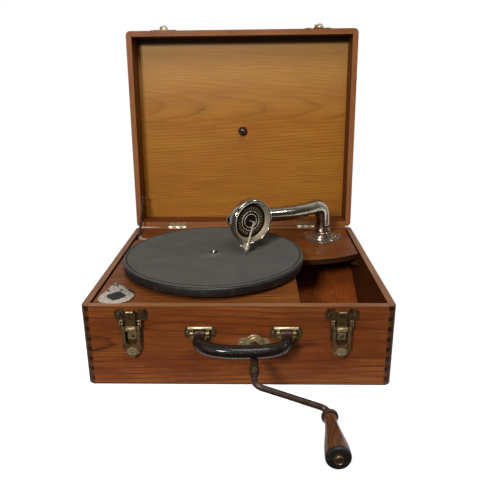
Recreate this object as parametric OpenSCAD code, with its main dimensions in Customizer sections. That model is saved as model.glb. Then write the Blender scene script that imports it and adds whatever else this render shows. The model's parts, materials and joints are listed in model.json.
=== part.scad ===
// Portable wind-up gramophone in a wooden case, shown open with its crank in place.
// Origin: centre of the case's underside. +X right, +Y towards the hinges, +Z up. Millimetres.

/* [Case] */
// Width of the case from side to side
case_w = 375; // [350:1:420]
// Depth of the case from front to rear
case_d = 325; // [310:1:360]
// Height of the case without its lid
case_h = 108; // [104:1:130]
// Thickness of the wooden walls
wall = 9; // [7:0.5:10]
// Rounding of the upright corners
corner_r = 7; // [4:0.5:8]
// Rounding of the case's lower edges and of the lid's outer edges
edge_r = 2.5; // [1:0.5:3]
// Number of finger joints up one corner of the case
finger_count = 16; // [10:2:20]
// Thickness of the bottom board
bottom_t = 8; // [5:1:10]

/* [Lid] */
// Height of the lid when it is shut
lid_h = 47; // [44:1:60]
// Thickness of the lid's panel
lid_panel_t = 5; // [3:0.5:8]
// Number of finger joints up one corner of the lid
lid_finger_count = 8; // [6:2:10]
// How far the open lid leans back past upright, in degrees
lid_lean = 3.2; // [0:0.1:8]
// Length of the record stud in the lid
stud_l = 14; // [8:1:18]

/* [Motor board] */
// Thickness of the motor board
board_t = 8; // [6:0.5:9]
// How far the board's top lies below the case's rim
board_drop = 2; // [1:0.5:4]
// Gap between the board and the walls at its sides
board_gap = 2; // [0.5:0.5:3]
// Width of the gap for the lid stay beside the board
stay_gap = 5; // [4:0.5:7]

/* [Horn] */
// Distance of the horn's mouth from the middle of the case
mouth_left = 75.5; // [75:0.5:80]
// How far the mouth's rear edge curves back at the right
mouth_sweep = 30; // [10:1:40]
// Thickness of the horn's boards
horn_t = 6; // [4:0.5:8]
// Rise of the horn's sloping floor for each unit towards the rear
horn_slope = 0.43; // [0.35:0.01:0.45]

/* [Turntable] */
// Radius of the platter
platter_r = 127; // [115:1:128]
// Spindle's place across the case
platter_x = -38; // [-45:0.5:-36]
// Spindle's place along the case
platter_y = -18; // [-22:0.5:-15]
// Height of the felt's top above the motor board
platter_rise = 19; // [17:0.5:24]
// Height of the platter's rolled skirt
skirt_h = 14; // [8:0.5:15]
// Thickness of the platter's sheet
platter_t = 1.4; // [1:0.1:2]
// Thickness of the felt
felt_t = 2; // [1:0.5:3]
// Radius of the spindle where the record sits
spindle_r = 3.55; // [3.4:0.05:3.7]

/* [Tonearm] */
// Swivel's place across the case
arm_x = 130.5; // [126:0.5:133]
// Swivel's place along the case
arm_y = 107; // [104:0.5:110]
// Height of the sound box's axis above the motor board
head_z = 64.5; // [62:0.5:70]
// Outer radius of the arm's tube at the swivel
arm_r = 12; // [10:0.5:12.5]
// Outer radius of the arm's tube at the sound box
arm_end_r = 8.75; // [8:0.25:9.5]
// Wall of the arm's tube
arm_wall = 1.2; // [0.8:0.1:2]
// Radius of the sound box
box_r = 32; // [28:0.5:33]
// Distance from the arm's axis to the sound box's diaphragm
box_reach = 19; // [18:0.5:22]
// Radius of the base flange at its points
flange_r = 33.5; // [30:0.5:36]

/* [Latches] */
// Distance of the left latch from the middle
latch_left = 127; // [115:1:135]
// Distance of the right latch from the middle
latch_right = 123.5; // [115:1:135]
// Width of a latch's ears
latch_w = 40; // [34:1:44]
// Height of the latch lever's pivot below the rim
latch_pivot_drop = 21; // [19:0.5:24]
// Length of the latch's lever below its pivot
lever_l = 43; // [36:1:50]
// Length of the latch's hook
hook_l = 24; // [20:0.5:26]

/* [Handle] */
// Middle of the handle across the case
handle_x = 6.5; // [0:0.5:10]
// Distance between the handle's two caps
handle_span = 103; // [90:1:112]
// Width of one cap
cap_w = 38; // [30:1:40]
// Height of the handle's pivot
handle_z = 75; // [74:0.5:78]
// How far the grip's middle stands out of the front
handle_reach = 43; // [38:1:50]
// Radius of the grip
grip_r = 7.5; // [5:0.5:8]

/* [Crank] */
// Crank's place across the case
crank_x = 20; // [18:0.5:22]
// Height of the crank's axis
crank_z = 60; // [58:0.5:62]
// Radius of the crank's shaft
crank_r = 4.5; // [4:0.25:5]
// Distance from the front to the crank's bend
crank_out = 91; // [85:1:110]
// Length of the crank's arm
crank_arm = 83; // [60:1:90]
// Turn of the arm below level, in degrees
crank_turn = 20; // [0:1:30]
// Length of the wooden grip
crank_grip_l = 62; // [55:1:85]
// Largest radius of the wooden grip
crank_grip_r = 12.5; // [9:0.5:13]

/* [Motor] */
// Tooth size of the barrel's wheel: pitch diameter for each tooth
barrel_module = 1.6; // [1.5:0.05:1.6]
// Tooth size of the intermediate wheel
second_module = 1.25; // [1.2:0.05:1.25]
// Radius of the barrel's drum
barrel_r = 40.5; // [36:0.5:41]
// Turns of the mainspring
spring_turns = 9; // [6:1:12]

/* [Hidden] */
$fn = 48;

// Tooth counts of the motor, which the couplings between its joints are worked out from
barrel_teeth = 56;
second_pinion_teeth = 10;
second_wheel_teeth = 48;
spindle_pinion_teeth = 12;
crown_teeth = 48;
winding_teeth = 14;
worm_wheel_teeth = 48;
worm_starts = 4;

// Clearances
run = 0.05;
gap = 0.3;
fit = 0.4;

// Places that follow from the sizes above
front_y = -case_d / 2;
rear_y = case_d / 2;
inner_w = case_w - 2 * wall;
inner_d = case_d - 2 * wall;
left_in = -inner_w / 2;
right_in = inner_w / 2;
mouth_w = right_in - mouth_left;
front_in = -inner_d / 2;
rear_in = inner_d / 2;
finger_h = case_h / finger_count;
board_top = case_h - board_drop;
board_z = board_top - board_t;
cleat_h = 12;
cleat_w = 10;

// Hinges and lid
hinge_r = 2.6;
hinge_pin_r = 1.3;
hinge_y = rear_y + 1;
hinge_z = case_h + 0.1;
hinge_w = 31;
hinge_left = -115.5;
hinge_right = 110.5;
leaf_t = 1.3;
leaf_l = 8;
lid_back = 0.3;
lid_finger_h = lid_h / lid_finger_count;
lid_in = lid_h - lid_panel_t;

// Lid stay: the stud lies on the circle that the stay's pivot runs on, so the bar
// turns half as far as the lid and its slot stays in line with the stud
stay_s = 50;
stay_d = 12;
stay_t = 2;
stay_w = 11;
stay_x = left_in + 1.2;
stay_pin_r = 2.5;
stay_circle = sqrt(stay_s * stay_s + stay_d * stay_d);
stay_stud_z = board_z - 8;
stay_stud_y = hinge_y - sqrt(pow(stay_circle, 2) - pow(hinge_z - stay_stud_z, 2));
stay_pivot_y = hinge_y + stay_s * sin(lid_lean) + stay_d * cos(lid_lean);
stay_pivot_z = hinge_z + stay_s * cos(lid_lean) - stay_d * sin(lid_lean);
stay_dy = stay_pivot_y - stay_stud_y;
stay_dz = stay_pivot_z - stay_stud_z;
stay_angle = atan2(stay_dz, stay_dy);
stay_l = sqrt(stay_dy * stay_dy + stay_dz * stay_dz);
stay_travel = 50;

// Turntable
felt_z = board_top + platter_rise;
platter_z = felt_z - felt_t;
hub_z = board_top + 6;
hub_r = 12;
record_pin_l = 2.4;
shaft_r = 4;

// Tonearm: the gooseneck leaves the elbow along elbow_dir and ends along box_dir
box_turn = 33;
box_n = [sin(box_turn), -cos(box_turn), 0];
box_dir = [-cos(box_turn), -sin(box_turn), 0];
head = [3.5, 1.5, board_top + head_z];
elbow_turn = 50.5;
elbow_dir = [-cos(elbow_turn), -sin(elbow_turn), 0];
flange_h = 12;
collar_z = board_top + flange_h + gap;
collar_h = 4;
collar_r = 13.5;
arm_spigot_r = 10;
spigot_drop = 20;
tube_z = collar_z + collar_h;
elbow_z = board_top + 56;
elbow_run = 31;
elbow_drop = 25;
head_spigot_r = 7.5;
head_sleeve_r = 10.2;
head_sleeve_l = 22;

// Sound box, measured from the arm's axis along the box's own axis
box_back = box_reach - 6;
box_front = box_reach + 9;
box_wall = 5;
box_bore = box_r - box_wall;
chuck_turn = 19;
bar_z = box_front + 1.6;
bar_foot_w = 5.2;
bar_foot_in = 1.2;
chuck_r = box_r + 4;
needle_tip_r = (head[2] - felt_z - gap) / cos(chuck_turn);

// Latches, measured out of the front face
latch_z = case_h - latch_pivot_drop;
latch_out = 5;
latch_pin_r = 1.5;
hook_pin_r = 1.2;
hook_z = latch_z - 7;

// Handle
handle_out = 6;
handle_rod_r = 2.2;
grip_z = crank_z + crank_r + gap + grip_r;
handle_dip = asin((handle_z - grip_z) / (handle_reach - handle_out));
grip_arm = (handle_reach - handle_out) / cos(handle_dip);
grip_bend = min(20, grip_arm - 15);
grip_half = handle_span / 2;

// Crank
crank_rod_r = 3.5;
crank_collar_r = 5.5;
crank_inside = 62;
elbow_bend = 9;
crank_y = front_y - crank_out;
boss_r = 8.8;
boss_l = 3.5;
boss_y = elbow_bend + 2;
grip_pin_r = 2.5;
socket_clear = 0.06;

// Motor: heights of its parts above the table and places of its axes
top_plate_t = 3;
plate_t = 3;
plate_z = bottom_t + 2;
barrel_z = plate_z + plate_t + 1;
wheel_t = 5;
great_r = barrel_module * barrel_teeth / 2;
second_pinion_r = barrel_module * second_pinion_teeth / 2;
second_wheel_r = second_module * second_wheel_teeth / 2;
spindle_pinion_r = second_module * spindle_pinion_teeth / 2;
crown_r = 30;
crown_module = 2 * crown_r / crown_teeth;
winding_r = crown_module * winding_teeth / 2;
barrel_x = crank_x;
barrel_y = -40;
barrel_top = barrel_z + 30;
axle_a = [platter_x, platter_y];
axle_b = [barrel_x, barrel_y];
reach_b = great_r + second_pinion_r;
reach_a = second_wheel_r + spindle_pinion_r;
span_ab = norm(axle_b - axle_a);
dir_ab = (axle_b - axle_a) / span_ab;
foot_ab = (reach_a * reach_a - reach_b * reach_b + span_ab * span_ab) / (2 * span_ab);
rise_ab = sqrt(reach_a * reach_a - foot_ab * foot_ab);
axle_c = axle_a + foot_ab * dir_ab + rise_ab * [-dir_ab[1], dir_ab[0]];
second_wheel_z = 56;
second_wheel_t = 4;
worm_wheel_r = 18;
worm_wheel_z = 30;
worm_wheel_t = 5;
worm_r = 4.2;
governor_x = platter_x - worm_wheel_r - worm_r;
governor_z = worm_wheel_z + worm_wheel_t / 2;
governor_front = platter_y - 20;
governor_rear = platter_y + 64;
weight_y = platter_y + 34;
disc_y = platter_y + 53;
disc_r = 13;
arbor_r = 5;
pillar_r = 4;
plate_left = -88;
plate_right = mouth_left - horn_t - 2;
plate_front = -100;
plate_rear = 64;
pillar_inset = 8;

// Colours
oak = [0.46, 0.25, 0.13];
oak_dark = [0.36, 0.19, 0.10];
pine = [0.66, 0.42, 0.18];
nickel = [0.72, 0.70, 0.66];
bronze = [0.52, 0.44, 0.32];
brass = [0.72, 0.55, 0.28];
steel = [0.36, 0.33, 0.31];
black = [0.12, 0.10, 0.10];
felt = [0.33, 0.33, 0.30];

// Shared shapes

// Rectangle with round corners, made of exact arcs
module round_rect(w, d, r) {
  square([w - 2 * r, d], center = true);
  square([w, d - 2 * r], center = true);
  for (x = [-1, 1], y = [-1, 1])
    translate([x * (w / 2 - r), y * (d / 2 - r)]) circle(r);
}

// Plate in a plane that faces the front: drawn in x and z, t thick towards the front
module front_plate(y, t) {
  translate([0, y, 0]) rotate([90, 0, 0]) linear_extrude(t) children();
}

// Cylinder along X that starts at x
module rod_x(x, y, z, r, l) {
  translate([x, y, z]) rotate([0, 90, 0]) cylinder(r = r, h = l);
}

// Cylinder along -Y that starts at y
module rod_out(x, y, z, r, l) {
  translate([x, y, z]) rotate([90, 0, 0]) cylinder(r = r, h = l);
}

// Block with round upright corners, whose lower edges are rounded too
module box_block(w, d, h, r, edge) {
  translate([0, 0, edge]) linear_extrude(h - edge) round_rect(w, d, r);
  linear_extrude(edge) round_rect(w - 2 * edge, d - 2 * edge, r - edge);
  for (s = [-1, 1]) {
    rod_x(-w / 2 + r, s * (d / 2 - edge), edge, edge, w - 2 * r);
    translate([s * (w / 2 - edge), d / 2 - r, edge]) rotate([90, 0, 0]) cylinder(r = edge, h = d - 2 * r);
  }
  for (x = [-1, 1], y = [-1, 1]) translate([x * (w / 2 - r), y * (d / 2 - r), edge])
    rotate_extrude() translate([r - edge, 0]) circle(edge);
}

// Stack of fingers at one corner, of every second step from first
module fingers(first, count, h, w) {
  for (i = [first : 2 : count - 1]) translate([0, 0, i * h]) cube([w, w, h]);
}

// Board across the box with fingers of its own at both ends
module cross_board(w, d, h, t, y, count, first) {
  intersection() {
    box_block(w, d, h, corner_r, edge_r);
    union() {
      translate([-w / 2 + t, y, 0]) cube([w - 2 * t, t, h]);
      for (x = [-w / 2, w / 2 - t]) translate([x, y, 0]) fingers(first, count, h / count, t);
    }
  }
}

// Board along the box's side with the fingers that fill the other steps
module side_board(w, d, h, t, x, count, first) {
  intersection() {
    box_block(w, d, h, corner_r, edge_r);
    union() {
      translate([x, -d / 2 + t, 0]) cube([t, d - 2 * t, h]);
      for (y = [-d / 2, d / 2 - t]) translate([x, y, 0]) fingers(first, count, h / count, t);
    }
  }
}

// Angle of an involute at radius r from base radius b, in degrees
function involute(r, b) = r <= b ? 0 : let(a = acos(b / r)) tan(a) * 180 / PI - a;

// Outline of a gear's teeth; radii lists where each flank has a point, from root to tip
function gear_points(n, m, radii, slack) = let(
    rp = m * n / 2,
    rb = rp * cos(20),
    half = 90 / n - slack / rp * 90 / PI + involute(rp, rb))
  [for (i = [0 : n - 1]) each concat(
    [for (k = [0 : len(radii) - 1])
      let(a = i * 360 / n - half + involute(radii[k], rb)) radii[k] * [cos(a), sin(a)]],
    [for (k = [len(radii) - 1 : -1 : 0])
      let(a = i * 360 / n + half - involute(radii[k], rb)) radii[k] * [cos(a), sin(a)]])];

// Spur gear with its teeth turned by phase
module spur_gear(n, m, t, add, ded, slack, phase, steps = 1) {
  rp = m * n / 2;
  radii = steps == 1 ? [rp - ded, rp + add] : [rp - ded, rp - 0.3 * ded, rp + 0.4 * add, rp + add];
  rotate([0, 0, phase]) linear_extrude(t) polygon(gear_points(n, m, radii, slack));
}

// Case

module case_front() {
  color(oak) difference() {
    cross_board(case_w, case_d, case_h, wall, front_y, finger_count, 0);
    rod_out(crank_x, front_in + 1, crank_z, crank_r + 3.5, wall + 2);
  }
}

module case_rear() {
  color(oak) difference() {
    cross_board(case_w, case_d, case_h, wall, rear_in, finger_count, 0);
    for (x = [hinge_left, hinge_right])
      translate([x - hinge_w / 2, rear_y - leaf_l, case_h - leaf_t]) cube([hinge_w, leaf_l + 1, leaf_t + 1]);
    for (x = [hinge_left, hinge_right])
      rod_x(x - hinge_w / 2, hinge_y, hinge_z, hinge_r + gap, hinge_w);
  }
}

module case_left() {
  color(oak) difference() {
    side_board(case_w, case_d, case_h, wall, -case_w / 2, finger_count, 1);
    rod_x(left_in - 5, stay_stud_y, stay_stud_z, stay_pin_r, 6);
  }
}

module case_right() {
  color(oak) side_board(case_w, case_d, case_h, wall, right_in, finger_count, 1);
}

module case_bottom() {
  color(oak_dark) translate([left_in, front_in, 0]) cube([inner_w, inner_d, bottom_t]);
}

// Height of the mouth's rear edge along Y, at a share t of the mouth's width
function mouth_edge(t) = mouth_rear + mouth_sweep * pow(t, 2.6);
mouth_rear = 0;

module motor_board() {
  color(oak) difference() {
    translate([0, 0, board_z]) linear_extrude(board_t) difference() {
      square([inner_w - 2 * board_gap, inner_d - 2 * fit], center = true);
      polygon(concat(
        [[right_in + 1, front_in - 1], [mouth_left, front_in - 1]],
        [for (i = [0 : 12]) [mouth_left + mouth_w * i / 12, mouth_edge(i / 12)]],
        [[right_in + 1, mouth_edge(1)]]));
      translate([left_in, stay_stud_y - 22]) square([stay_gap, 50]);
      translate([platter_x, platter_y]) circle(hub_r);
      translate([arm_x, arm_y]) circle(arm_spigot_r + 3.4);
      translate(cup_place) circle(cup_r + fit / 2);
    }
    translate([brake_place[0], brake_place[1], board_z - 1]) cylinder(r = brake_pin_r + run, h = board_t + 2);
  }
}

module board_cleats() {
  color(oak_dark) difference() {
    translate([0, 0, board_z - cleat_h]) {
      translate([left_in, front_in + cleat_w, 0]) cube([cleat_w, inner_d * 0.6, cleat_h]);
      translate([left_in + cleat_w, rear_in - cleat_w, 0]) cube([inner_w - 2 * cleat_w, cleat_w, cleat_h]);
      translate([left_in + cleat_w, front_in, 0])
        cube([inner_w - mouth_w - horn_t - cleat_w - fit, cleat_w, cleat_h]);
      translate([right_in - cleat_w, mouth_edge(1) + 4, 0])
        cube([cleat_w, rear_in - mouth_edge(1) - 4, cleat_h]);
    }
    translate([cup_place[0], cup_place[1], board_top - cup_depth - 2]) cylinder(r = cup_r + gap, h = cup_depth + 3);
  }
}

horn_rear = rear_in - cleat_w;
horn_front = horn_rear - (board_z - cleat_h - bottom_t) / horn_slope;

module horn_partition() {
  color(oak_dark) translate([mouth_left - horn_t, front_in, bottom_t])
    cube([horn_t, horn_rear - front_in, board_z - bottom_t]);
}

module horn_floor() {
  color(oak) translate([mouth_left, 0, 0]) rotate([90, 0, 90]) linear_extrude(mouth_w - fit) polygon([
    [horn_front, bottom_t],
    [horn_front + horn_t / horn_slope, bottom_t],
    [horn_rear, board_z - cleat_h - horn_t],
    [horn_rear, board_z - cleat_h]]);
}

// Lid, drawn shut and upside down: y runs from the hinges, z falls from the rim to the panel

module on_lid() {
  translate([0, hinge_y, hinge_z]) rotate([90 - lid_lean, 0, 0]) children();
}

module lid_rail_place() {
  on_lid() translate([0, lid_back + case_d / 2, -lid_h]) children();
}

module lid_front_rail() {
  color(oak) lid_rail_place()
    cross_board(case_w, case_d, lid_h, wall, case_d / 2 - wall, lid_finger_count, 0);
}

module lid_rear_rail() {
  color(oak) difference() {
    lid_rail_place() cross_board(case_w, case_d, lid_h, wall, -case_d / 2, lid_finger_count, 0);
    on_lid() {
      for (x = [hinge_left, hinge_right]) translate([x - hinge_w / 2, 0, -leaf_t]) cube([hinge_w, leaf_l, leaf_t + 1]);
      for (x = [hinge_left, hinge_right]) rod_x(x - hinge_w / 2, 0, 0, hinge_r + gap, hinge_w);
    }
  }
}

module lid_left_rail() {
  color(oak) difference() {
    lid_rail_place() side_board(case_w, case_d, lid_h, wall, -case_w / 2, lid_finger_count, 1);
    rod_x(left_in - 5, stay_pivot_y, stay_pivot_z, stay_pin_r, 6);
  }
}

module lid_right_rail() {
  color(oak) lid_rail_place() side_board(case_w, case_d, lid_h, wall, right_in, lid_finger_count, 1);
}

module lid_panel() {
  color(pine) difference() {
    lid_rail_place() translate([left_in, front_in, 0]) cube([inner_w, inner_d, lid_panel_t]);
    on_lid() translate([0, lid_back + case_d / 2, -lid_h - 1]) cylinder(r = 2, h = lid_panel_t + 2);
  }
}

module record_stud() {
  color(steel) on_lid() translate([0, lid_back + case_d / 2, -lid_in]) {
    translate([0, 0, -lid_panel_t + 0.5]) cylinder(r = 2, h = lid_panel_t);
    cylinder(r = 8, h = 1.2);
    cylinder(r = 2.6, h = stud_l - 3);
    translate([0, 0, stud_l - 5]) rotate_extrude() polygon([[0, 0], [4, 0], [5, 1.5], [4.6, 3.4], [3, 4.6], [0, 5]]);
  }
}

// Hook bumps on the lid's front rail, which the latches catch
module latch_keepers() {
  color(bronze) on_lid() translate([0, lid_back + case_d, 0]) for (x = [-latch_left, latch_right])
    translate([x, 0, 0]) {
      translate([0, 0, -11]) rotate([-90, 0, 0]) linear_extrude(1.6) {
        square([16, 20], center = true);
        round_rect(latch_w + 2, 11, 3);
      }
      translate([0, 1.6, -9]) rotate([-90, 0, 0]) intersection() {
        cylinder(r = 6, h = 5);
        translate([-6, -2, 0]) cube([12, 8, 5]);
      }
      for (s = [-1, 1]) translate([s * (latch_w / 2 - 5), 1.6, -11]) rotate([-90, 0, 0]) cylinder(r1 = 2.6, r2 = 1.8, h = 0.8);
    }
}

knuckle = hinge_w / 5;

// Knuckles of one leaf: every second one from first
module knuckles(first) {
  for (i = [first : 2 : 4])
    rod_x(-hinge_w / 2 + i * knuckle + 0.15, 0, 0, hinge_r, knuckle - 0.3);
}

module hinge_case_leaves() {
  color(brass) for (x = [hinge_left, hinge_right]) translate([x, hinge_y, hinge_z]) {
    difference() {
      union() {
        knuckles(0);
        for (i = [0, 2, 4]) translate([-hinge_w / 2 + i * knuckle + 0.15, -leaf_l - 1 + gap, -0.1 - leaf_t])
          cube([knuckle - 0.3, leaf_l + 1 - gap, leaf_t - 0.2]);
        translate([-hinge_w / 2 + 0.15, -leaf_l - 1 + gap, -0.1 - leaf_t])
          cube([hinge_w - 0.3, leaf_l - hinge_r - gap - 0.3, leaf_t - 0.2]);
      }
    }
    rod_x(-hinge_w / 2 + 0.15, 0, 0, hinge_pin_r, hinge_w - 0.3);
  }
}

module hinge_lid_leaves() {
  color(brass) on_lid() for (x = [hinge_left, hinge_right]) translate([x, 0, 0]) difference() {
    union() {
      knuckles(1);
      for (i = [1, 3]) translate([-hinge_w / 2 + i * knuckle + 0.15, 0, -leaf_t])
        cube([knuckle - 0.3, leaf_l, leaf_t - 0.2]);
      translate([-hinge_w / 2 + 0.15, hinge_r + gap + 0.3, -leaf_t])
        cube([hinge_w - 0.3, leaf_l - hinge_r - gap - 0.3, leaf_t - 0.2]);
    }
    rod_x(-hinge_w / 2 - 1, 0, 0, hinge_pin_r + run, hinge_w + 2);
  }
}

// Lid stay

module on_stay() {
  translate([stay_x, stay_pivot_y, stay_pivot_z]) rotate([180 + stay_angle, 0, 0]) children();
}

module lid_stay() {
  color(steel) on_stay() rotate([90, 0, 90]) linear_extrude(stay_t) difference() {
    union() {
      translate([0, -stay_w / 2]) square([stay_l + 8, stay_w]);
      circle(stay_w / 2);
      translate([stay_l + 8, 0]) circle(stay_w / 2);
    }
    circle(stay_pin_r + run);
    translate([stay_l - stay_travel, -stay_pin_r - gap]) square([stay_travel, 2 * (stay_pin_r + gap)]);
    translate([stay_l - stay_travel, 0]) circle(stay_pin_r + gap);
    translate([stay_l, 0]) circle(stay_pin_r + gap);
  }
}

module stay_pin(y, z) {
  rod_x(left_in - 5, y, z, stay_pin_r, 5 + stay_x - left_in + stay_t + gap);
  rod_x(left_in, y, z, stay_pin_r + 1.5, stay_x - left_in - gap);
  rod_x(stay_x + stay_t + gap, y, z, stay_pin_r + 1.5, 1.2);
}

module stay_stud() {
  color(steel) stay_pin(stay_stud_y, stay_stud_z);
}

module stay_pivot() {
  color(steel) stay_pin(stay_pivot_y, stay_pivot_z);
}

// Latches

module latch_plates() {
  for (x = [-latch_left, latch_right]) translate([x, 0, 0]) {
    color(bronze) difference() {
      union() {
        front_plate(front_y, 1.6) difference() {
          polygon([
            [-latch_w / 2, latch_z + 6], [-latch_w / 2 + 3, latch_z + 3], [-13, latch_z + 3], [-13, latch_z - 24],
            [-6, latch_z - 28], [6, latch_z - 28], [13, latch_z - 24], [13, latch_z + 3],
            [latch_w / 2 - 3, latch_z + 3], [latch_w / 2, latch_z + 6], [latch_w / 2, latch_z + 15],
            [latch_w / 2 - 3, latch_z + 18], [9, latch_z + 18], [7, latch_z + 14], [-7, latch_z + 14],
            [-9, latch_z + 18], [-latch_w / 2 + 3, latch_z + 18], [-latch_w / 2, latch_z + 15]]);
        }
        for (s = [-1, 1]) translate([s * 12.1 - 0.8, front_y - 8, latch_z - 4]) cube([1.6, 8, 8]);
      }
      rod_x(-14, front_y - latch_out, latch_z, latch_pin_r + run, 28);
    }
    color(brass) {
      for (s = [-1, 1]) rod_out(s * (latch_w / 2 - 5), front_y - 1.6, latch_z + 10.5, 2.6, 0.9);
      rod_out(0, front_y - 1.6, latch_z - 15, 2.4, 0.9);
    }
  }
}

// Channel-shaped lever with its two pivot stubs, pointed at its lower end
module latch_lever(x) {
  y = front_y - latch_out;
  color(bronze) translate([x, y, latch_z]) difference() {
    union() {
      for (s = [-1, 1]) {
        translate([s * 9.9 - 0.8, -3, -lever_l + 10]) cube([1.6, 5.6, lever_l - 10]);
        rod_x(s * 9.9 - 0.8, 0, 0, 3, 1.6);
        rod_x(s * 11 - 1.8, 0, 0, latch_pin_r, 3.6);
      }
      front_plate(-1.8, 1.5) difference() {
        union() {
          polygon([
            [-10.7, -2], [-10.7, -lever_l + 12], [-5, -lever_l + 3], [-2, -lever_l], [2, -lever_l],
            [5, -lever_l + 3], [10.7, -lever_l + 12], [10.7, -2]]);
        }
        translate([-7, -20]) square([14, 21]);
        translate([0, -20]) circle(7);
      }
    }
    rod_x(-12, 0, hook_z - latch_z, hook_pin_r + run, 24);
  }
}

module latch_hook(x) {
  y = front_y - latch_out;
  color(bronze) translate([x, y, hook_z]) {
    rod_x(-10.7, 0, 0, hook_pin_r, 21.4);
    rod_x(-6, 0, 0, 2.4, 12);
    front_plate(0.9, 1.4) {
      translate([-6, 0]) square([12, hook_l - 4]);
      translate([-4.5, hook_l - 4]) square([9, 4]);
    }
    translate([-4.5, 0, hook_l - 1.6]) cube([9, 2.6, 1.6]);
  }
}

module latch_lever_left() { latch_lever(-latch_left); }
module latch_lever_right() { latch_lever(latch_right); }
module latch_hook_left() { latch_hook(-latch_left); }
module latch_hook_right() { latch_hook(latch_right); }

// Handle

module handle_caps() {
  for (s = [-1, 1]) translate([handle_x + s * handle_span / 2, 0, 0]) {
    color(brass) difference() {
      union() {
        front_plate(front_y, 1.6) translate([0, handle_z - 1]) round_rect(cap_w, 14, 4);
        for (k = [-1, 1]) {
          rod_x(k * 9.5 - 2, front_y - handle_out, handle_z, 4.6, 4);
          translate([k * 9.5 - 2, front_y - handle_out, handle_z - 4.6]) cube([4, handle_out - 1, 9.2]);
        }
      }
      rod_x(-15, front_y - handle_out, handle_z, handle_rod_r + run, 30);
    }
    color(steel) for (k = [-1, 1]) rod_out(k * (cap_w / 2 - 3.8), front_y - 1.6, handle_z - 1, 2.2, 0.8);
  }
}

module on_handle() {
  translate([handle_x, front_y - handle_out, handle_z]) rotate([handle_dip, 0, 0]) children();
}

// Leather grip: a straight run with a quarter bend at each end
module handle_grip() {
  color(black) on_handle() {
    rod_x(-grip_half + grip_bend - 0.5, -grip_arm, 0, grip_r + 0.3, 2 * (grip_half - grip_bend) + 1);
    for (s = [-1, 1]) translate([s * (grip_half - grip_bend), -grip_arm + grip_bend, 0])
      mirror([s < 0 ? 1 : 0, 0, 0]) rotate([0, 0, -90]) rotate_extrude(angle = 90) translate([grip_bend, 0]) circle(grip_r);
    for (s = [-1, 1]) rod_out(s * grip_half, -14, 0, grip_r - 0.2, grip_arm - grip_bend - 13);
  }
}

module handle_ends() {
  color(steel) on_handle() for (s = [-1, 1]) translate([s * grip_half, 0, 0]) {
    rod_x(-12, 0, 0, handle_rod_r, 24);
    rod_x(-6, 0, 0, 3.6, 12);
    translate([-5, -14, -2]) cube([10, 13, 4]);
    rod_out(0, -9, 0, grip_r - 0.6, 5);
  }
}

// Crank

module crank_escutcheon() {
  color(bronze) difference() {
    union() {
      front_plate(front_y, 1.4) translate([crank_x, crank_z]) {
        square([28, 14], center = true);
        for (s = [-1, 1]) translate([s * 13, 0]) circle(7);
      }
      translate([crank_x, front_y, crank_z]) rotate([90, 0, 0]) rotate_extrude()
        polygon([[0, 0], [11.5, 0], [11, 2.2], [9, 3.6], [7.4, 4], [0, 4]]);
      for (s = [-1, 1]) rod_out(crank_x + s * 15.5, front_y - 1.4, crank_z, 2.2, 0.8);
    }
    rod_out(crank_x, front_y + 1, crank_z, crank_r + 0.4, 8);
  }
}

module on_crank_arm() {
  translate([crank_x, crank_y, crank_z]) rotate([0, crank_turn, 0]) children();
}

module crank_rod() {
  color(steel) {
    translate([crank_x, front_y + crank_inside, crank_z]) rotate([90, 0, 0]) {
      cylinder(r = crank_r, h = crank_inside + 70);
      translate([0, 0, crank_inside + 58]) cylinder(r = crank_collar_r, h = 12);
    }
    on_crank_arm() {
      rod_out(0, crank_out - 69, 0, crank_rod_r, crank_out - 69 - elbow_bend);
      translate([0, elbow_bend, 0]) translate([elbow_bend, 0, 0]) rotate([0, 0, 180])
        rotate_extrude(angle = 90) translate([elbow_bend, 0]) circle(crank_rod_r);
      rod_x(elbow_bend, 0, 0, crank_rod_r, crank_arm - 2 * elbow_bend);
      translate([crank_arm - elbow_bend, -elbow_bend, 0])
        rotate_extrude(angle = 90) translate([elbow_bend, 0]) circle(crank_rod_r);
      rod_out(crank_arm, -elbow_bend, 0, crank_rod_r, boss_y - elbow_bend + 1);
      rod_out(crank_arm, -boss_y, 0, boss_r, boss_l);
      rod_out(crank_arm, -boss_y - boss_l + 0.5, 0, grip_pin_r, crank_grip_l + 2 * gap + 0.5);
    }
    rod_x(crank_x + crank_collar_r - 1, front_y - 64, crank_z, 1.6, 2.4);
  }
}

module crank_grip() {
  color([0.45, 0.25, 0.12]) on_crank_arm() translate([crank_arm, -boss_y - boss_l - gap, 0]) rotate([90, 0, 0]) rotate_extrude()
    polygon(concat(
      [[grip_pin_r + run, 0], [6.2, 0], [6.8, 1.5]],
      [for (i = [0 : 12]) let(t = i / 12)
        [6.6 + (crank_grip_r - 6.6) * (3 * t * t - 2 * t * t * t), 4 + (crank_grip_l - 9) * t]],
      [[crank_grip_r - 1, crank_grip_l - 2], [crank_grip_r - 3, crank_grip_l], [grip_pin_r + run, crank_grip_l]]));
}

module crank_washer() {
  color(brass) on_crank_arm() translate([crank_arm, -boss_y - boss_l - crank_grip_l - 2 * gap, 0]) rotate([90, 0, 0]) {
    cylinder(r = 4.8, h = 1);
    translate([0, 0, 1]) cylinder(r1 = 3, r2 = 2, h = 1);
  }
}

// Socket tube that takes the crank's shaft, with the pinion that winds the crown wheel
module winding_shaft() {
  pinion_y = barrel_y - crown_r;
  color(steel) translate([crank_x, 0, crank_z]) rotate([90, 0, 0]) {
    difference() {
      translate([0, 0, -pinion_y + 4]) cylinder(r = 7, h = -front_in + pinion_y - 8);
      translate([0, 0, -front_y - crank_inside - 2]) cylinder(r = crank_r + socket_clear, h = crank_inside);
    }
    translate([0, 0, -pinion_y - 3]) spur_gear(winding_teeth, crown_module, 7.5, 0.9, 1.5, 0.3, 90, 3);
    translate([0, 0, -pinion_y - 12]) cylinder(r = 3, h = 10);
  }
}

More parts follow.
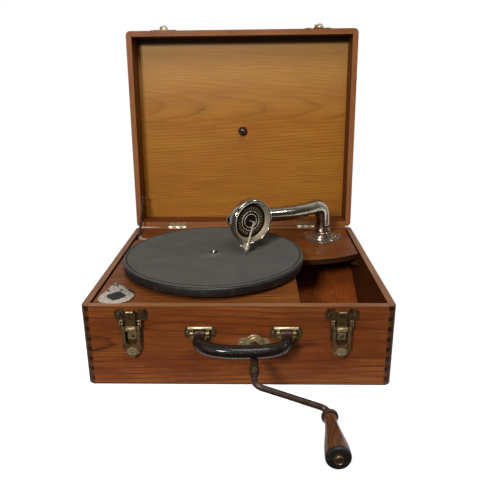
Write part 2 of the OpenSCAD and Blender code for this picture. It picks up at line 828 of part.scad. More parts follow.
// Turntable

module platter() {
  color(black) translate([platter_x, platter_y, 0]) rotate_extrude($fn = 96) difference() {
    union() {
      polygon([
        [0, hub_z], [hub_r - 2, hub_z], [hub_r - 1, platter_z - platter_t - 1], [hub_r + 4, platter_z - platter_t],
        [platter_r - 3.4, platter_z - platter_t], [platter_r - platter_t, platter_z - 3.4],
        [platter_r - platter_t, felt_z - skirt_h], [platter_r, felt_z - skirt_h],
        [platter_r, platter_z - 2.4], [platter_r - 0.8, platter_z - 0.8], [platter_r - 2.4, platter_z], [0, platter_z]]);
      translate([platter_r - 1.6, felt_z - skirt_h + 1.6]) circle(1.6, $fn = 24);
    }
    translate([-1, 0]) square([shaft_r + run + 1, felt_z + 10]);
  }
}

module platter_felt() {
  color(felt) translate([platter_x, platter_y, platter_z]) rotate_extrude($fn = 96) polygon([
    [shaft_r + 0.6, 0], [platter_r - 2.5, 0], [platter_r - 2, felt_t * 0.5], [platter_r - 2.8, felt_t],
    [shaft_r + 0.6, felt_t]]);
}

module turntable_spindle() {
  color(nickel) translate([platter_x, platter_y, 0]) {
    difference() {
      union() {
        translate([0, 0, plate_z + 0.6]) cylinder(r = shaft_r, h = felt_z - gap - plate_z - 0.6);
        translate([0, 0, felt_z - gap - 1]) cylinder(r = spindle_r, h = record_pin_l + gap + 1);
        translate([0, 0, felt_z + record_pin_l]) intersection() {
          translate([0, 0, -2]) sphere(r = norm([spindle_r, 2]));
          cylinder(r = spindle_r, h = 5);
        }
        translate([0, 0, hub_z - 3]) cylinder(r = 6, h = 3);
      }
    }
    translate([0, 0, second_wheel_z - 2])
      spur_gear(spindle_pinion_teeth, second_module, second_wheel_t + 4, 0.9, 1.3, 0.3, spindle_phase, 3);
    translate([0, 0, worm_wheel_z]) rotate([0, 0, worm_wheel_phase])
      linear_extrude(worm_wheel_t, twist = worm_wheel_twist, slices = 3) polygon(worm_wheel_points());
  }
}

// Direction of the line from one axle to another
function heading(a, b) = atan2(b[1] - a[1], b[0] - a[0]);

// The barrel's wheel has a tooth on the line to the second axle, where the pinion has a gap,
// and the same holds for the intermediate wheel and the spindle's pinion
barrel_phase = heading(axle_b, axle_c);
second_pinion_phase = heading(axle_c, axle_b) + 180 / second_pinion_teeth;
second_wheel_phase = heading(axle_c, axle_a);
spindle_phase = heading(axle_a, axle_c) + 180 / spindle_pinion_teeth;

worm_pitch = 2 * PI * worm_wheel_r / worm_wheel_teeth;
worm_lead = worm_pitch * worm_starts;
worm_tilt = atan(worm_lead / (2 * PI * worm_r));
worm_wheel_twist = tan(worm_tilt) * worm_wheel_t / worm_wheel_r * 180 / PI;
worm_wheel_phase = 180 + worm_wheel_twist / 2;

function worm_wheel_points() = let(step = 360 / worm_wheel_teeth, root = worm_wheel_r - 0.9, tip = worm_wheel_r + 0.35)
  [for (i = [0 : worm_wheel_teeth - 1]) each [
    for (c = [[-0.30, root], [-0.12, tip], [0.12, tip], [0.30, root]])
      let(a = (i + c[0]) * step) c[1] * [cos(a), sin(a)]]];

// Tonearm

module tonearm_flange() {
  color(nickel) translate([arm_x, arm_y, board_top]) difference() {
    union() {
      linear_extrude(2.2) polygon([for (a = [0 : 5 : 355]) (flange_r - 4 * abs(sin(3 * a))) * [cos(a), sin(a)]]);
      rotate_extrude() polygon([
        [0, 2], [27, 2], [26.4, 3.6], [23.5, 4.4], [23, 5.8], [20.2, 6.6], [19.8, 8], [17.2, 8.8],
        [16.8, 10.4], [14.6, flange_h], [0, flange_h]]);
      translate([0, 0, -spigot_drop]) cylinder(r = arm_spigot_r + 3, h = spigot_drop + 1);
      for (a = [30, 150, 270]) rotate([0, 0, a]) translate([flange_r - 8.4, 0, 2]) cylinder(r = 2.4, h = 1.6);
    }
    translate([0, 0, -spigot_drop - 1]) cylinder(r = arm_spigot_r + 0.06, h = spigot_drop + flange_h + 2);
  }
}

module tonearm_collar() {
  color(nickel) translate([arm_x, arm_y, 0]) difference() {
    union() {
      translate([0, 0, board_top - spigot_drop + 4]) cylinder(r = arm_spigot_r, h = tube_z - board_top + spigot_drop - 4);
      translate([0, 0, collar_z]) cylinder(r = collar_r, h = collar_h);
    }
    translate([0, 0, board_top - spigot_drop]) cylinder(r = arm_spigot_r - arm_wall, h = 60);
  }
}

// Cubic curve through four control points
function bezier(p, t) = pow(1 - t, 3) * p[0] + 3 * t * pow(1 - t, 2) * p[1] + 3 * t * t * (1 - t) * p[2] + t * t * t * p[3];

arm_foot = [arm_x, arm_y, tube_z];
arm_top = [arm_x, arm_y, elbow_z - elbow_drop];
arm_elbow = [arm_x + elbow_run * elbow_dir[0], arm_y + elbow_run * elbow_dir[1], elbow_z];
arm_line = head - 64 * box_dir - [0, 0, 6.8];
arm_end = head - (head_sleeve_l / 2 + 2.6) * box_dir;
line_dir = (arm_end - arm_line) / norm(arm_end - arm_line);
arm_path = concat(
  [arm_foot],
  [for (i = [0 : 7]) bezier([arm_top, arm_top + [0, 0, elbow_drop - 5], arm_elbow - 18.6 * elbow_dir, arm_elbow], i / 7)],
  [for (i = [1 : 8]) bezier([arm_elbow, arm_elbow + 38 * elbow_dir, arm_line - 12 * line_dir, arm_line], i / 8)],
  [arm_end]);

function unit(v) = v / norm(v);

// Direction of a path at its point i
function path_dir(p, i) = i == 0 ? unit(p[1] - p[0])
  : i == len(p) - 1 ? unit(p[i] - p[i - 1])
  : unit(unit(p[i + 1] - p[i]) + unit(p[i] - p[i - 1]));

// Ring of points around a path, square to it
function path_ring(p, i, r, sides, side_dir) = let(
    t = path_dir(p, i),
    u = unit(side_dir - (side_dir * t) * t),
    v = cross(t, u))
  [for (k = [0 : sides - 1]) let(a = 360 * k / sides) p[i] + r * (cos(a) * u + sin(a) * v)];

// Tube with a wall along a path; its radius falls evenly from r1 to r2
module path_tube(p, r1, r2, wall_t, sides, side_dir) {
  n = len(p);
  outer = [for (i = [0 : n - 1]) each path_ring(p, i, r1 + (r2 - r1) * i / (n - 1), sides, side_dir)];
  inner = [for (i = [0 : n - 1]) each path_ring(p, i, r1 - wall_t + (r2 - r1) * i / (n - 1), sides, side_dir)];
  shift = n * sides;
  polyhedron(points = concat(outer, inner), faces = concat(
    [for (i = [0 : n - 2], k = [0 : sides - 1]) let(j = (k + 1) % sides)
      each [[i * sides + k, (i + 1) * sides + k, (i + 1) * sides + j], [i * sides + k, (i + 1) * sides + j, i * sides + j]]],
    [for (i = [0 : n - 2], k = [0 : sides - 1]) let(j = (k + 1) % sides)
      each [[shift + i * sides + k, shift + (i + 1) * sides + j, shift + (i + 1) * sides + k],
        [shift + i * sides + k, shift + i * sides + j, shift + (i + 1) * sides + j]]],
    [for (k = [0 : sides - 1]) let(j = (k + 1) % sides)
      each [[k, j, shift + j], [k, shift + j, shift + k]]],
    [for (k = [0 : sides - 1]) let(j = (k + 1) % sides, e = (n - 1) * sides)
      each [[e + j, e + k, shift + e + k], [e + j, shift + e + k, shift + e + j]]]));
}

module on_head() {
  translate(head) rotate([0, 0, box_turn]) rotate([90, 0, 0]) children();
}

module tonearm_tube() {
  color(nickel) {
    path_tube(arm_path, arm_r, arm_end_r, arm_wall, 16, [-elbow_dir[1], elbow_dir[0], 0]);
    on_head() translate([head_sleeve_l / 2 + gap + 8, 0, 0]) rotate([0, -90, 0])
      cylinder(r = head_spigot_r, h = head_sleeve_l + 2 * gap + 10);
    on_head() translate([-head_sleeve_l / 2 - gap, 0, 0]) rotate([0, -90, 0]) {
      cylinder(r = 8.6, h = 3);
      translate([0, 0, 3]) cylinder(r1 = 7.2, r2 = 5, h = 3);
    }
  }
}

// Sound box, drawn with its axis along z and the needle below

module soundbox_neck() {
  color(nickel) on_head() difference() {
    union() {
      translate([-head_sleeve_l / 2, 0, 0]) rotate([0, 90, 0]) cylinder(r = head_sleeve_r, h = head_sleeve_l);
      cylinder(r = 8, h = box_back);
    }
    translate([-head_sleeve_l, 0, 0]) rotate([0, 90, 0]) cylinder(r = head_spigot_r + run, h = 2 * head_sleeve_l);
  }
}

module soundbox_shell() {
  color(nickel) difference() {
    on_head() translate([0, 0, box_back]) rotate_extrude($fn = 72) polygon([
      [5, 0], [9, 0], [12, 1], [box_r - 4.5, 1], [box_r - 1.2, 2.4], [box_r, 5], [box_r, box_front - box_back - 2.4],
      [box_r - 0.6, box_front - box_back - 0.9], [box_r - 2, box_front - box_back],
      [box_r - 3.4, box_front - box_back - 0.6], [box_bore, box_front - box_back - 1.8],
      [box_bore, 6], [box_bore - 2.5, 6], [box_bore - 2.5, 3], [5, 3]]);
    on_chuck() translate([-bar_foot_w / 2, -box_r - 3, box_reach + 3]) cube([bar_foot_w, 3 + bar_foot_in, 20]);
  }
}

module soundbox_face() {
  z0 = box_reach + 0.6;
  z1 = box_front - 2.2;
  color([0.25, 0.22, 0.19]) on_head() rotate_extrude($fn = 72) polygon([
    [box_bore - 0.1, z0], [box_bore - 0.1, z1], [box_bore - 1.2, z1 + 0.5], [22.6, z0 + 3.2], [14.2, z0 + 2.4],
    [14.0, z0 + 2.9], [13.0, z0 + 2.9], [12.8, z0 + 2.2], [10.8, z0 + 2.2], [10.6, z0 + 3.4], [9.2, z0 + 3.4],
    [8.6, z0 + 2.6], [8.6, z0 + 1.4], [21.5, z0 + 1.4], [box_bore - 2, z0 + 2], [box_bore - 1.4, z0]]);
}

module diaphragm() {
  color([0.45, 0.40, 0.33]) on_head() translate([0, 0, box_reach]) difference() {
    cylinder(r = box_bore - 0.1, h = 0.6);
    translate([0, 0, -1]) cylinder(r = 0.9, h = 3);
  }
}

module on_chuck() {
  on_head() rotate([0, 0, -chuck_turn]) children();
}

// Bar from the diaphragm's middle over the rim to the needle chuck
module stylus_bar() {
  z = bar_z;
  color(nickel) on_chuck() {
    translate([0, 0, box_reach - 1.4]) cylinder(r = 0.8, h = z - box_reach + 1.4);
    translate([0, 0, z]) rotate([90, 0, 0]) cylinder(r1 = 1.1, r2 = 1.5, h = chuck_r - 3);
    translate([0, 0, z]) sphere(r = 1.3, $fn = 24);
    translate([0, -chuck_r, z]) difference() {
      rotate([-90, 0, 0]) translate([0, 0, -4]) cylinder(r = 3.2, h = 8);
      rotate([-90, 0, 0]) translate([0, 0, -5]) cylinder(r = 0.8, h = 7);
      rotate([0, -90, 0]) cylinder(r = 1.2, h = 6);
    }
    translate([-bar_foot_w / 2, -box_r - 1.6, box_reach + 3]) cube([bar_foot_w, 1.6 + bar_foot_in, z - box_reach - 3]);
  }
}

module needle() {
  color(steel) on_chuck() translate([0, 0, bar_z]) rotate([90, 0, 0]) {
    translate([0, 0, chuck_r - 1.6]) cylinder(r = 0.75, h = needle_tip_r - chuck_r - 0.9);
    translate([0, 0, needle_tip_r - 2.5]) cylinder(r1 = 0.75, r2 = 0.15, h = 2.5);
  }
}

module needle_screw() {
  color(nickel) on_chuck() translate([0, -chuck_r, bar_z]) rotate([0, -90, 0]) {
    translate([0, 0, 1.2]) cylinder(r = 1.15, h = 4);
    translate([0, 0, 5]) cylinder(r = 2.6, h = 1.2);
    translate([0, 0, 6.2]) cylinder(r = 0.9, h = 3.6);
    translate([0, 0, 10.4]) sphere(r = 1.6, $fn = 24);
  }
}

// Needle cup and brake

cup_place = [left_in + 27.5, front_in + 27];
cup_r = 19;
cup_depth = 14;
cover_pivot = cup_place + [-0.47 * cup_r, 1.42 * cup_r];
cover_pin_r = 2;
cover_t = 1.8;

module needle_cup() {
  color(steel) translate([0, 0, board_top]) {
    translate(cup_place) rotate_extrude() polygon([
      [0, -cup_depth], [cup_r - 3, -cup_depth], [cup_r, -cup_depth + 3], [cup_r, 0], [cup_r + 2, 0], [cup_r + 2, 0.6],
      [cup_r - 1, 0.6], [cup_r - 1, -cup_depth + 3.4], [cup_r - 3.4, -cup_depth + 1], [0, -cup_depth + 1]]);
    translate(cover_pivot) {
      cylinder(r = cover_pin_r, h = 0.6 + gap + cover_t + gap + 0.2);
      translate([0, 0, 0.6 + 2 * gap + cover_t]) cylinder(r = cover_pin_r + 1.4, h = 1);
      cylinder(r = 6, h = 0.6);
    }
  }
}

// Cover with a curved front edge and a tab at its pivot
module needle_cup_cover() {
  spread = [cup_place[0] - cover_pivot[0], cup_place[1] - cover_pivot[1]];
  color(nickel) translate([cover_pivot[0], cover_pivot[1], board_top + 0.6 + gap]) difference() {
    linear_extrude(cover_t) {
      circle(7);
      polygon(concat([[-6.5, 3], [-15.5, -30]],
        [for (i = [0 : 12]) let(a = 200 + 140 * i / 12) spread + 22.5 * [1.02 * cos(a), 1.1 * sin(a)]],
        [[20, -22], [6.5, 2]]));
    }
    translate([0, 0, -1]) cylinder(r = cover_pin_r + run, h = cover_t + 2);
  }
}

brake_turn = 135;
brake_reach = 29;
brake_pad_r = 3.5;
brake_pin_r = 2;
brake_place = [platter_x, platter_y] + (platter_r + brake_reach) * [cos(brake_turn), sin(brake_turn)];
brake_tab_turn = 157;
brake_tab_gap = 10;
brake_tab_l = (left_in + brake_tab_gap - brake_place[0]) / cos(brake_tab_turn);

// Lever with a bent finger tab at the left and a pad that stops the platter's rim
module brake_lever() {
  pad_l = brake_reach - brake_pad_r - gap;
  color(nickel) translate([brake_place[0], brake_place[1], 0]) {
    translate([0, 0, board_z + 1]) cylinder(r = brake_pin_r, h = board_t + 2);
    translate([0, 0, board_top + gap]) {
      linear_extrude(1.4) {
        circle(5);
        rotate([0, 0, brake_turn + 180]) translate([0, -3]) square([pad_l, 6]);
        rotate([0, 0, brake_turn + 180]) translate([pad_l, 0]) circle(brake_pad_r);
        rotate([0, 0, brake_tab_turn]) translate([0, -2.5]) square([brake_tab_l, 5]);
      }
      rotate([0, 0, brake_turn + 180]) translate([pad_l, 0, 1]) cylinder(r = brake_pad_r, h = 7);
      rotate([0, 0, brake_tab_turn]) translate([brake_tab_l - 1, -2.5, 0]) cube([1.4, 5, 5]);
    }
  }
}

// Motor

module motor_plate_outline() {
  translate([(plate_left + plate_right) / 2, (plate_front + plate_rear) / 2])
    round_rect(plate_right - plate_left, plate_rear - plate_front, 10);
}

pillar_places = [
  [plate_left + pillar_inset, plate_front + pillar_inset], [plate_right - pillar_inset, plate_front + pillar_inset],
  [plate_left + pillar_inset, plate_rear - pillar_inset], [plate_right - pillar_inset, plate_rear - pillar_inset]];

module motor_top_plate() {
  z = board_z - top_plate_t;
  pinion_y = barrel_y - crown_r;
  color(nickel) difference() {
    union() {
      translate([0, 0, z]) linear_extrude(top_plate_t) motor_plate_outline();
      translate([crank_x - 6, pinion_y + 5, crank_z - 6]) cube([12, 3, z - crank_z + 7]);
      translate([crank_x - 11, plate_front + 1, crank_z - 11]) cube([22, 4, z - crank_z + 12]);
    }
    rod_out(crank_x, pinion_y + 9, crank_z, 3 + run, 5);
    rod_out(crank_x, plate_front + 6, crank_z, 7 + run, 6);
    translate([platter_x, platter_y, z - 1]) cylinder(r = shaft_r + run, h = top_plate_t + 2);
    translate([barrel_x, barrel_y, z - 1]) cylinder(r = arbor_r + run, h = top_plate_t + 2);
    translate([axle_c[0], axle_c[1], z - 1]) cylinder(r = 2.5 + run, h = top_plate_t + 2);
  }
}

module motor_bottom_plate() {
  z = plate_z;
  color(nickel) difference() {
    union() {
      translate([0, 0, z]) linear_extrude(plate_t) motor_plate_outline();
      for (p = pillar_places) translate([p[0], p[1], bottom_t]) cylinder(r = pillar_r, h = board_z - top_plate_t - bottom_t);
      for (y = [governor_front, governor_rear])
        translate([governor_x - 5, y - 1.5, z + 1]) cube([10, 3, governor_z - z + 5]);
      translate([governor_x - 20, disc_y + 8, z + 1]) {
        cylinder(r = 3, h = regulator_z - z - 1);
        cylinder(r = 1.5, h = regulator_z - z + 2.6);
        translate([0, 0, regulator_z - z - 1 + 2 + 2 * gap]) cylinder(r = 2.6, h = 1);
      }
    }
    translate([platter_x, platter_y, z + 0.5]) cylinder(r = shaft_r + run, h = plate_t);
    translate([barrel_x, barrel_y, z + 0.5]) cylinder(r = arbor_r + run, h = plate_t);
    translate([axle_c[0], axle_c[1], z + 0.5]) cylinder(r = 2.5 + run, h = plate_t);
    for (y = [governor_front, governor_rear]) rod_out(governor_x, y + 3, governor_z, 2 + run, 6);
  }
}

module spring_barrel() {
  color(brass) translate([barrel_x, barrel_y, barrel_z]) difference() {
    union() {
      spur_gear(barrel_teeth, barrel_module, wheel_t, 1.25, 1.9, 0.3, barrel_phase);
      translate([0, 0, 1]) cylinder(r = barrel_r, h = barrel_top - barrel_z - 1, $fn = 72);
    }
    translate([0, 0, wheel_t]) cylinder(r = barrel_r - 2, h = barrel_top - barrel_z - wheel_t - 2, $fn = 72);
    translate([0, 0, -1]) cylinder(r = arbor_r + run, h = 60);
  }
}

// Flat spiral of the mainspring around the arbor's hub
module mainspring() {
  r0 = 10;
  r1 = barrel_r - 3.2;
  steps = spring_turns * 20;
  color(steel) translate([barrel_x, barrel_y, barrel_z + wheel_t + 1])
    linear_extrude(barrel_top - barrel_z - wheel_t - 4) polygon(concat(
      [for (i = [0 : steps]) (r0 + (r1 - r0) * i / steps) * [cos(i * 18), sin(i * 18)]],
      [for (i = [steps : -1 : 0]) (r0 + 0.8 + (r1 - r0) * i / steps) * [cos(i * 18), sin(i * 18)]]));
}

crown_top = crank_z - winding_r + 0.9;

// Arbor inside the spring with the crown wheel that winds it
module winding_arbor() {
  color(steel) translate([barrel_x, barrel_y, 0]) {
    translate([0, 0, plate_z + 0.6]) cylinder(r = arbor_r, h = board_z - plate_z - 1);
    translate([0, 0, barrel_z + wheel_t + 1]) cylinder(r = 9, h = barrel_top - barrel_z - wheel_t - 4);
    translate([0, 0, barrel_top + gap]) cylinder(r = 12, h = crown_top - 2.6 - barrel_top - gap);
    difference() {
      translate([0, 0, crown_top - 5.6]) cylinder(r = crown_r + 3, h = 3.2);
      for (a = [0 : 60 : 300]) rotate([0, 0, a]) translate([19, 0, crown_top - 7]) cylinder(r = 5, h = 6);
    }
    for (i = [0 : crown_teeth - 1]) rotate([0, 0, -90 + (i + 0.5) * 360 / crown_teeth])
      translate([crown_r - 3, 0, crown_top - 2.6]) rotate([90, 0, 90]) linear_extrude(6)
        polygon([[-1.05, 0], [-0.45, 2.6], [0.45, 2.6], [1.05, 0]]);
  }
}

module intermediate_gear() {
  color(brass) translate([axle_c[0], axle_c[1], 0]) {
    translate([0, 0, plate_z + 0.6]) cylinder(r = 2.5, h = board_z - plate_z - 1);
    translate([0, 0, barrel_z - 0.5])
      spur_gear(second_pinion_teeth, barrel_module, wheel_t + 2, 1.1, 1.7, 0.3, second_pinion_phase, 3);
    difference() {
      translate([0, 0, second_wheel_z])
        spur_gear(second_wheel_teeth, second_module, second_wheel_t, 0.95, 1.5, 0.3, second_wheel_phase);
      for (a = [0 : 72 : 288]) rotate([0, 0, a]) translate([17, 0, second_wheel_z - 1]) cylinder(r = 6, h = second_wheel_t + 2);
    }
  }
}

// Worm with its gap facing the wheel's tooth, a collar and the disc's sleeve with flats for the springs
module governor_shaft() {
  color(steel) translate([governor_x, 0, governor_z]) rotate([90, 0, 0]) {
    translate([0, 0, -governor_rear - 3]) cylinder(r = 2, h = governor_rear - governor_front + 6);
    translate([0, 0, -platter_y - worm_l / 2]) linear_extrude(worm_l, twist = worm_l / worm_lead * 360, slices = 24)
      polygon([for (i = [0 : worm_starts * 6 - 1]) let(r = i % 6 < 2 ? worm_r + 0.35 : worm_r - 0.9)
        r * [cos(i * 60 / worm_starts + worm_phase), sin(i * 60 / worm_starts + worm_phase)]]);
    translate([0, 0, -platter_y - 20]) linear_extrude(4) flats();
    translate([0, 0, -disc_y - 1]) linear_extrude(5) flats();
    translate([0, 0, -disc_y - 2.4]) cylinder(r = disc_r, h = 1.4);
  }
}
worm_l = 16;
worm_phase = worm_l / 2 / worm_lead * 360 - 210 / worm_starts;
flat_r = 6;
leaf_z = flat_r * cos(30);

module flats() {
  polygon([for (a = [0 : 60 : 300]) flat_r * [cos(a), sin(a)]]);
}

// Three weights, each on a bowed leaf spring between the collar and the disc's sleeve
module governor_weights() {
  y0 = platter_y + 16;
  y1 = disc_y + 0.6;
  ym = (y0 + y1) / 2;
  rise = 3.6;
  line = [[y0, 0], [y0 + 4, 0], [ym - 5, rise], [ym + 5, rise], [y1 - 4, 0], [y1, 0]];
  color(brass) translate([governor_x, 0, governor_z]) for (a = [0 : 120 : 240]) rotate([0, a, 0]) {
    translate([-2.5, 0, leaf_z]) rotate([90, 0, 90]) linear_extrude(5)
      polygon(concat(line, [for (i = [5 : -1 : 0]) line[i] + [0, 0.5]]));
    translate([0, ym + 4.5, leaf_z + rise + 3.8]) rotate([90, 0, 0]) cylinder(r = 3.8, h = 9);
  }
}

// Lever that holds a pad near the governor's disc, on a pin of the bottom plate's post
module regulator_lever() {
  color(steel) translate([governor_x - 20, disc_y + 8, regulator_z + gap]) difference() {
    union() {
      cylinder(r = 4, h = 2);
      translate([0, -2.5, 0]) cube([20, 5, 2]);
      translate([17, -5.25, -6.5]) cube([5, 3.5, 7.5]);
    }
    translate([0, 0, -1]) cylinder(r = 1.5 + run, h = 4);
  }
}
regulator_z = governor_z + 10;

case_front();
case_rear();
case_left();
case_right();
case_bottom();
motor_board();
board_cleats();
horn_partition();
horn_floor();
lid_front_rail();
lid_rear_rail();
lid_left_rail();
lid_right_rail();
lid_panel();
record_stud();
latch_keepers();
hinge_case_leaves();
hinge_lid_leaves();
lid_stay();
stay_stud();
stay_pivot();
latch_plates();
latch_lever_left();
latch_lever_right();
latch_hook_left();
latch_hook_right();
handle_caps();
handle_grip();
handle_ends();
crank_escutcheon();
crank_rod();
crank_grip();
crank_washer();
winding_shaft();
platter();
platter_felt();
turntable_spindle();
tonearm_flange();
tonearm_collar();
tonearm_tube();
soundbox_neck();
soundbox_shell();
soundbox_face();
diaphragm();
stylus_bar();
needle();
needle_screw();
needle_cup();
needle_cup_cover();
brake_lever();
motor_top_plate();
motor_bottom_plate();
spring_barrel();
mainspring();
winding_arbor();
intermediate_gear();
governor_shaft();
governor_weights();
regulator_lever();
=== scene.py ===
# %% [markdown]
# # A wind-up portable gramophone
# An oak case with finger-jointed corners stands open. On its motor board lie a felted turntable,
# a nickelled gooseneck tonearm with its sound box, a needle cup and a brake; the crank and the
# leather handle are on the front. The solids of the mechanism come packed, and this lesson gives
# them their finishes, rounds their edges, and models what they only stand in for.

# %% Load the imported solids
import bpy, bmesh, json, math
from mathutils import Matrix, Vector

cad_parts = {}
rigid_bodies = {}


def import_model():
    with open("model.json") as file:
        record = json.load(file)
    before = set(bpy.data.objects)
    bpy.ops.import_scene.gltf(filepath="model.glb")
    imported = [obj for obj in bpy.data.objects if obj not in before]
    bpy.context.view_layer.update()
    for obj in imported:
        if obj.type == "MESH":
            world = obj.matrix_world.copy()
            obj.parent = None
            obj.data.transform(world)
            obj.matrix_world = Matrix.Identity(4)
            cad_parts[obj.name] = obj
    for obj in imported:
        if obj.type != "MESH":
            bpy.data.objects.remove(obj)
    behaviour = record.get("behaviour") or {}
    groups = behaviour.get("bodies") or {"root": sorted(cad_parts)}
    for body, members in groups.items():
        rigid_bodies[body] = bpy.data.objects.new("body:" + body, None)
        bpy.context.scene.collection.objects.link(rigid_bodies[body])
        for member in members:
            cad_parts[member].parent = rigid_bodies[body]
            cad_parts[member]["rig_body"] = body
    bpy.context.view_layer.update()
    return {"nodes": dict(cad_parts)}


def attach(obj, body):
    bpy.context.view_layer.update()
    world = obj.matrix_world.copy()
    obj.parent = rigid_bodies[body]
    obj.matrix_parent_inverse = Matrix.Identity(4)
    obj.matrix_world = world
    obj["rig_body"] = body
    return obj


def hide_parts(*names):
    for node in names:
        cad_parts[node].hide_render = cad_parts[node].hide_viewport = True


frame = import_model()
MM = 0.001

# %% [markdown]
# ## The camera
# The camera is found before anything is drawn, because every later choice is judged through it.
# The case's corners gave its place and its lens: it stands 74 cm in front of the case's middle,
# 38 cm above the table, and looks 18 degrees down.

# %% Set up the camera
YAW, PITCH, ROLL = math.radians(-1.742), math.radians(18.071), math.radians(-0.682)
looking = (Matrix.Rotation(-YAW, 4, "Z") @ Matrix.Rotation(math.pi / 2 - PITCH, 4, "X")
           @ Matrix.Rotation(ROLL, 4, "Z"))
bpy.ops.object.camera_add()
camera = bpy.context.object
camera.matrix_world = Matrix.Translation((0.0216, -0.7364, 0.3775)) @ looking
camera.data.sensor_width = 36
camera.data.lens = 40.03
bpy.context.scene.camera = camera
bpy.context.scene.view_settings.view_transform = "Standard"
print("camera looks along", [round(v, 3) for v in looking @ Vector((0, 0, -1))])

# %% [markdown]
# ## Helpers for materials
# Colours are picked as sRGB hex values, which is how a picture shows them, but shaders count in
# linear light, so one function turns them over. A second one sets a node's sockets, and a third
# adds a node. In a Mix node of colours, sockets 6 and 7 are the two colours and 0 is the share.

# %% Helpers for colours and nodes
def linear(colour):
    """sRGB hex to linear light, with an alpha of 1."""
    parts = [int(colour[i:i + 2], 16) / 255 for i in (1, 3, 5)]
    return [c / 12.92 if c <= 0.04045 else ((c + 0.055) / 1.055) ** 2.4 for c in parts] + [1]


def plug(tree, node, inputs):
    """Writes values on a node's sockets, or links outputs to them; a node stands for its result."""
    for key, value in inputs.items():
        if isinstance(value, bpy.types.Node):
            value = next(output for output in value.outputs if output.enabled)
        if isinstance(value, bpy.types.NodeSocket):
            tree.links.new(value, node.inputs[key])
        else:
            node.inputs[key].default_value = value


def add(tree, kind, inputs=None, stops=None, **settings):
    """A shader node with its inputs and settings; stops are the places and colours of a ramp."""
    made = tree.nodes.new("ShaderNode" + kind)
    for key, value in settings.items():
        setattr(made, key, value)
    plug(tree, made, inputs or {})
    if stops:
        ramp = made.color_ramp
        while len(ramp.elements) < len(stops):
            ramp.elements.new(0.5)
        for element, (place, colour) in zip(ramp.elements, stops):
            element.position = place
            element.color = linear(colour) if isinstance(colour, str) else [colour] * 3 + [1]
    return made


def finish_called(name):
    """A new material with its tree, its shader and the piece's own coordinates in millimetres."""
    material = bpy.data.materials.new(name)
    material.use_nodes = True
    tree = material.node_tree
    own = add(tree, "TexCoord")
    mm = add(tree, "Mapping", {0: own.outputs["Object"], "Scale": (1 / MM, 1 / MM, 1 / MM)})
    return material, tree, tree.nodes["Principled BSDF"], mm, own.outputs["Normal"]


print("a mid grey of #808080 is", round(linear("#808080")[0], 3), "in linear light")

# %% [markdown]
# ## Floor and light
# A cut-out product picture has a white ground, so the case stands on a small white table top that
# keeps its shadow, in front of a white backdrop. The rest of the room is dim, because nickel only
# looks like metal when it has something dark to reflect. The key lamp is low, so the lid's top rail
# throws a narrow shadow on the panel, and a wide soft lamp overhead lights the motor board. A weak
# one at the right puts the highlight on the tonearm.

# %% Floor
bpy.ops.mesh.primitive_plane_add(size=1, location=(0, 0.05, 0))
floor = bpy.context.object
floor.scale = (1.0, 0.5, 1)
floor.name = "pale_floor"
paper = bpy.data.materials.new("Matt white paper")
paper.use_nodes = True
tree = paper.node_tree
rays = add(tree, "LightPath")
lit = add(tree, "BsdfDiffuse", {"Color": linear("#f7f7f6")})
glow = add(tree, "Emission", {"Color": (1, 1, 1, 1), "Strength": 0.55})
dark = add(tree, "Emission", {"Strength": 0})
seen = rays.outputs["Is Camera Ray"]
for kind in ("Is Glossy Ray", "Is Transmission Ray"):
    seen = add(tree, "Math", {0: seen, 1: rays.outputs[kind]}, operation="MAXIMUM")
extra = add(tree, "MixShader", {0: seen, 1: dark, 2: glow})
both = add(tree, "AddShader", {0: lit, 1: extra})
plug(tree, tree.nodes["Material Output"], {"Surface": both})
floor.data.materials.append(paper)
print("table top of", floor.scale[0], "by", floor.scale[1], "m")

# %% World and lamps
world = bpy.context.scene.world or bpy.data.worlds.new("studio")
bpy.context.scene.world = world
world.use_nodes = True
tree = world.node_tree
rays = add(tree, "LightPath")
way = add(tree, "TexCoord")
tilt = add(tree, "VectorMath", {0: way.outputs["Generated"], 1: (0.1, 1.0, 0.1)}, operation="DOT_PRODUCT")
room = add(tree, "MapRange", {"Value": tilt, "From Min": 0.2, "From Max": 0.95, "To Min": 0.05, "To Max": 1.0})
plain = add(tree, "Math", {0: rays.outputs["Is Camera Ray"], 1: rays.outputs["Is Transmission Ray"]},
            operation="MAXIMUM")
soft = add(tree, "Mix", {0: rays.outputs["Is Glossy Ray"], 2: 0.22, 3: room})
level = add(tree, "Mix", {0: plain, 2: soft, 3: 1.0})
plug(tree, tree.nodes["Background"], {"Color": (1, 1, 1, 1), "Strength": level})

for name, place, aim, size, watts in (
        ("key_lamp", (-0.42, -1.3, 0.82), (0, 0.05, 0.2), 0.22, 18.6),
        ("overhead_lamp", (0.15, -0.8, 1.45), (0, 0.0, 0.1), 0.6, 11.5),
        ("side_lamp", (1.17, -0.24, 0.98), (0.06, 0.04, 0.16), 0.12, 2.4)):
    bpy.ops.object.light_add(type="AREA", location=place)
    lamp = bpy.context.object
    lamp.name = name
    lamp.data.size = size
    lamp.data.energy = watts
    lamp.rotation_euler = (Vector(aim) - Vector(place)).to_track_quat("-Z", "Y").to_euler()
    print(name, watts, "W")

# %% [markdown]
# ## Wood
# The case is oak from quartered and flat-sawn boards, oiled to a reddish brown. A board shows
# where its sawn face cuts the tree's yearly rings: pale spring wood, then a dark line of late
# wood, in long arches where the cut runs near the heart. A rings texture about an axis along the
# board gives those arches. Noise stretched along the grain adds fibres and pores, and the ends of
# the boards, seen in every finger joint, are darker because end grain drinks the oil.

# %% Wood finish
ONE_WAVE = 0.314159  # the scale at which a wave texture repeats once in each unit


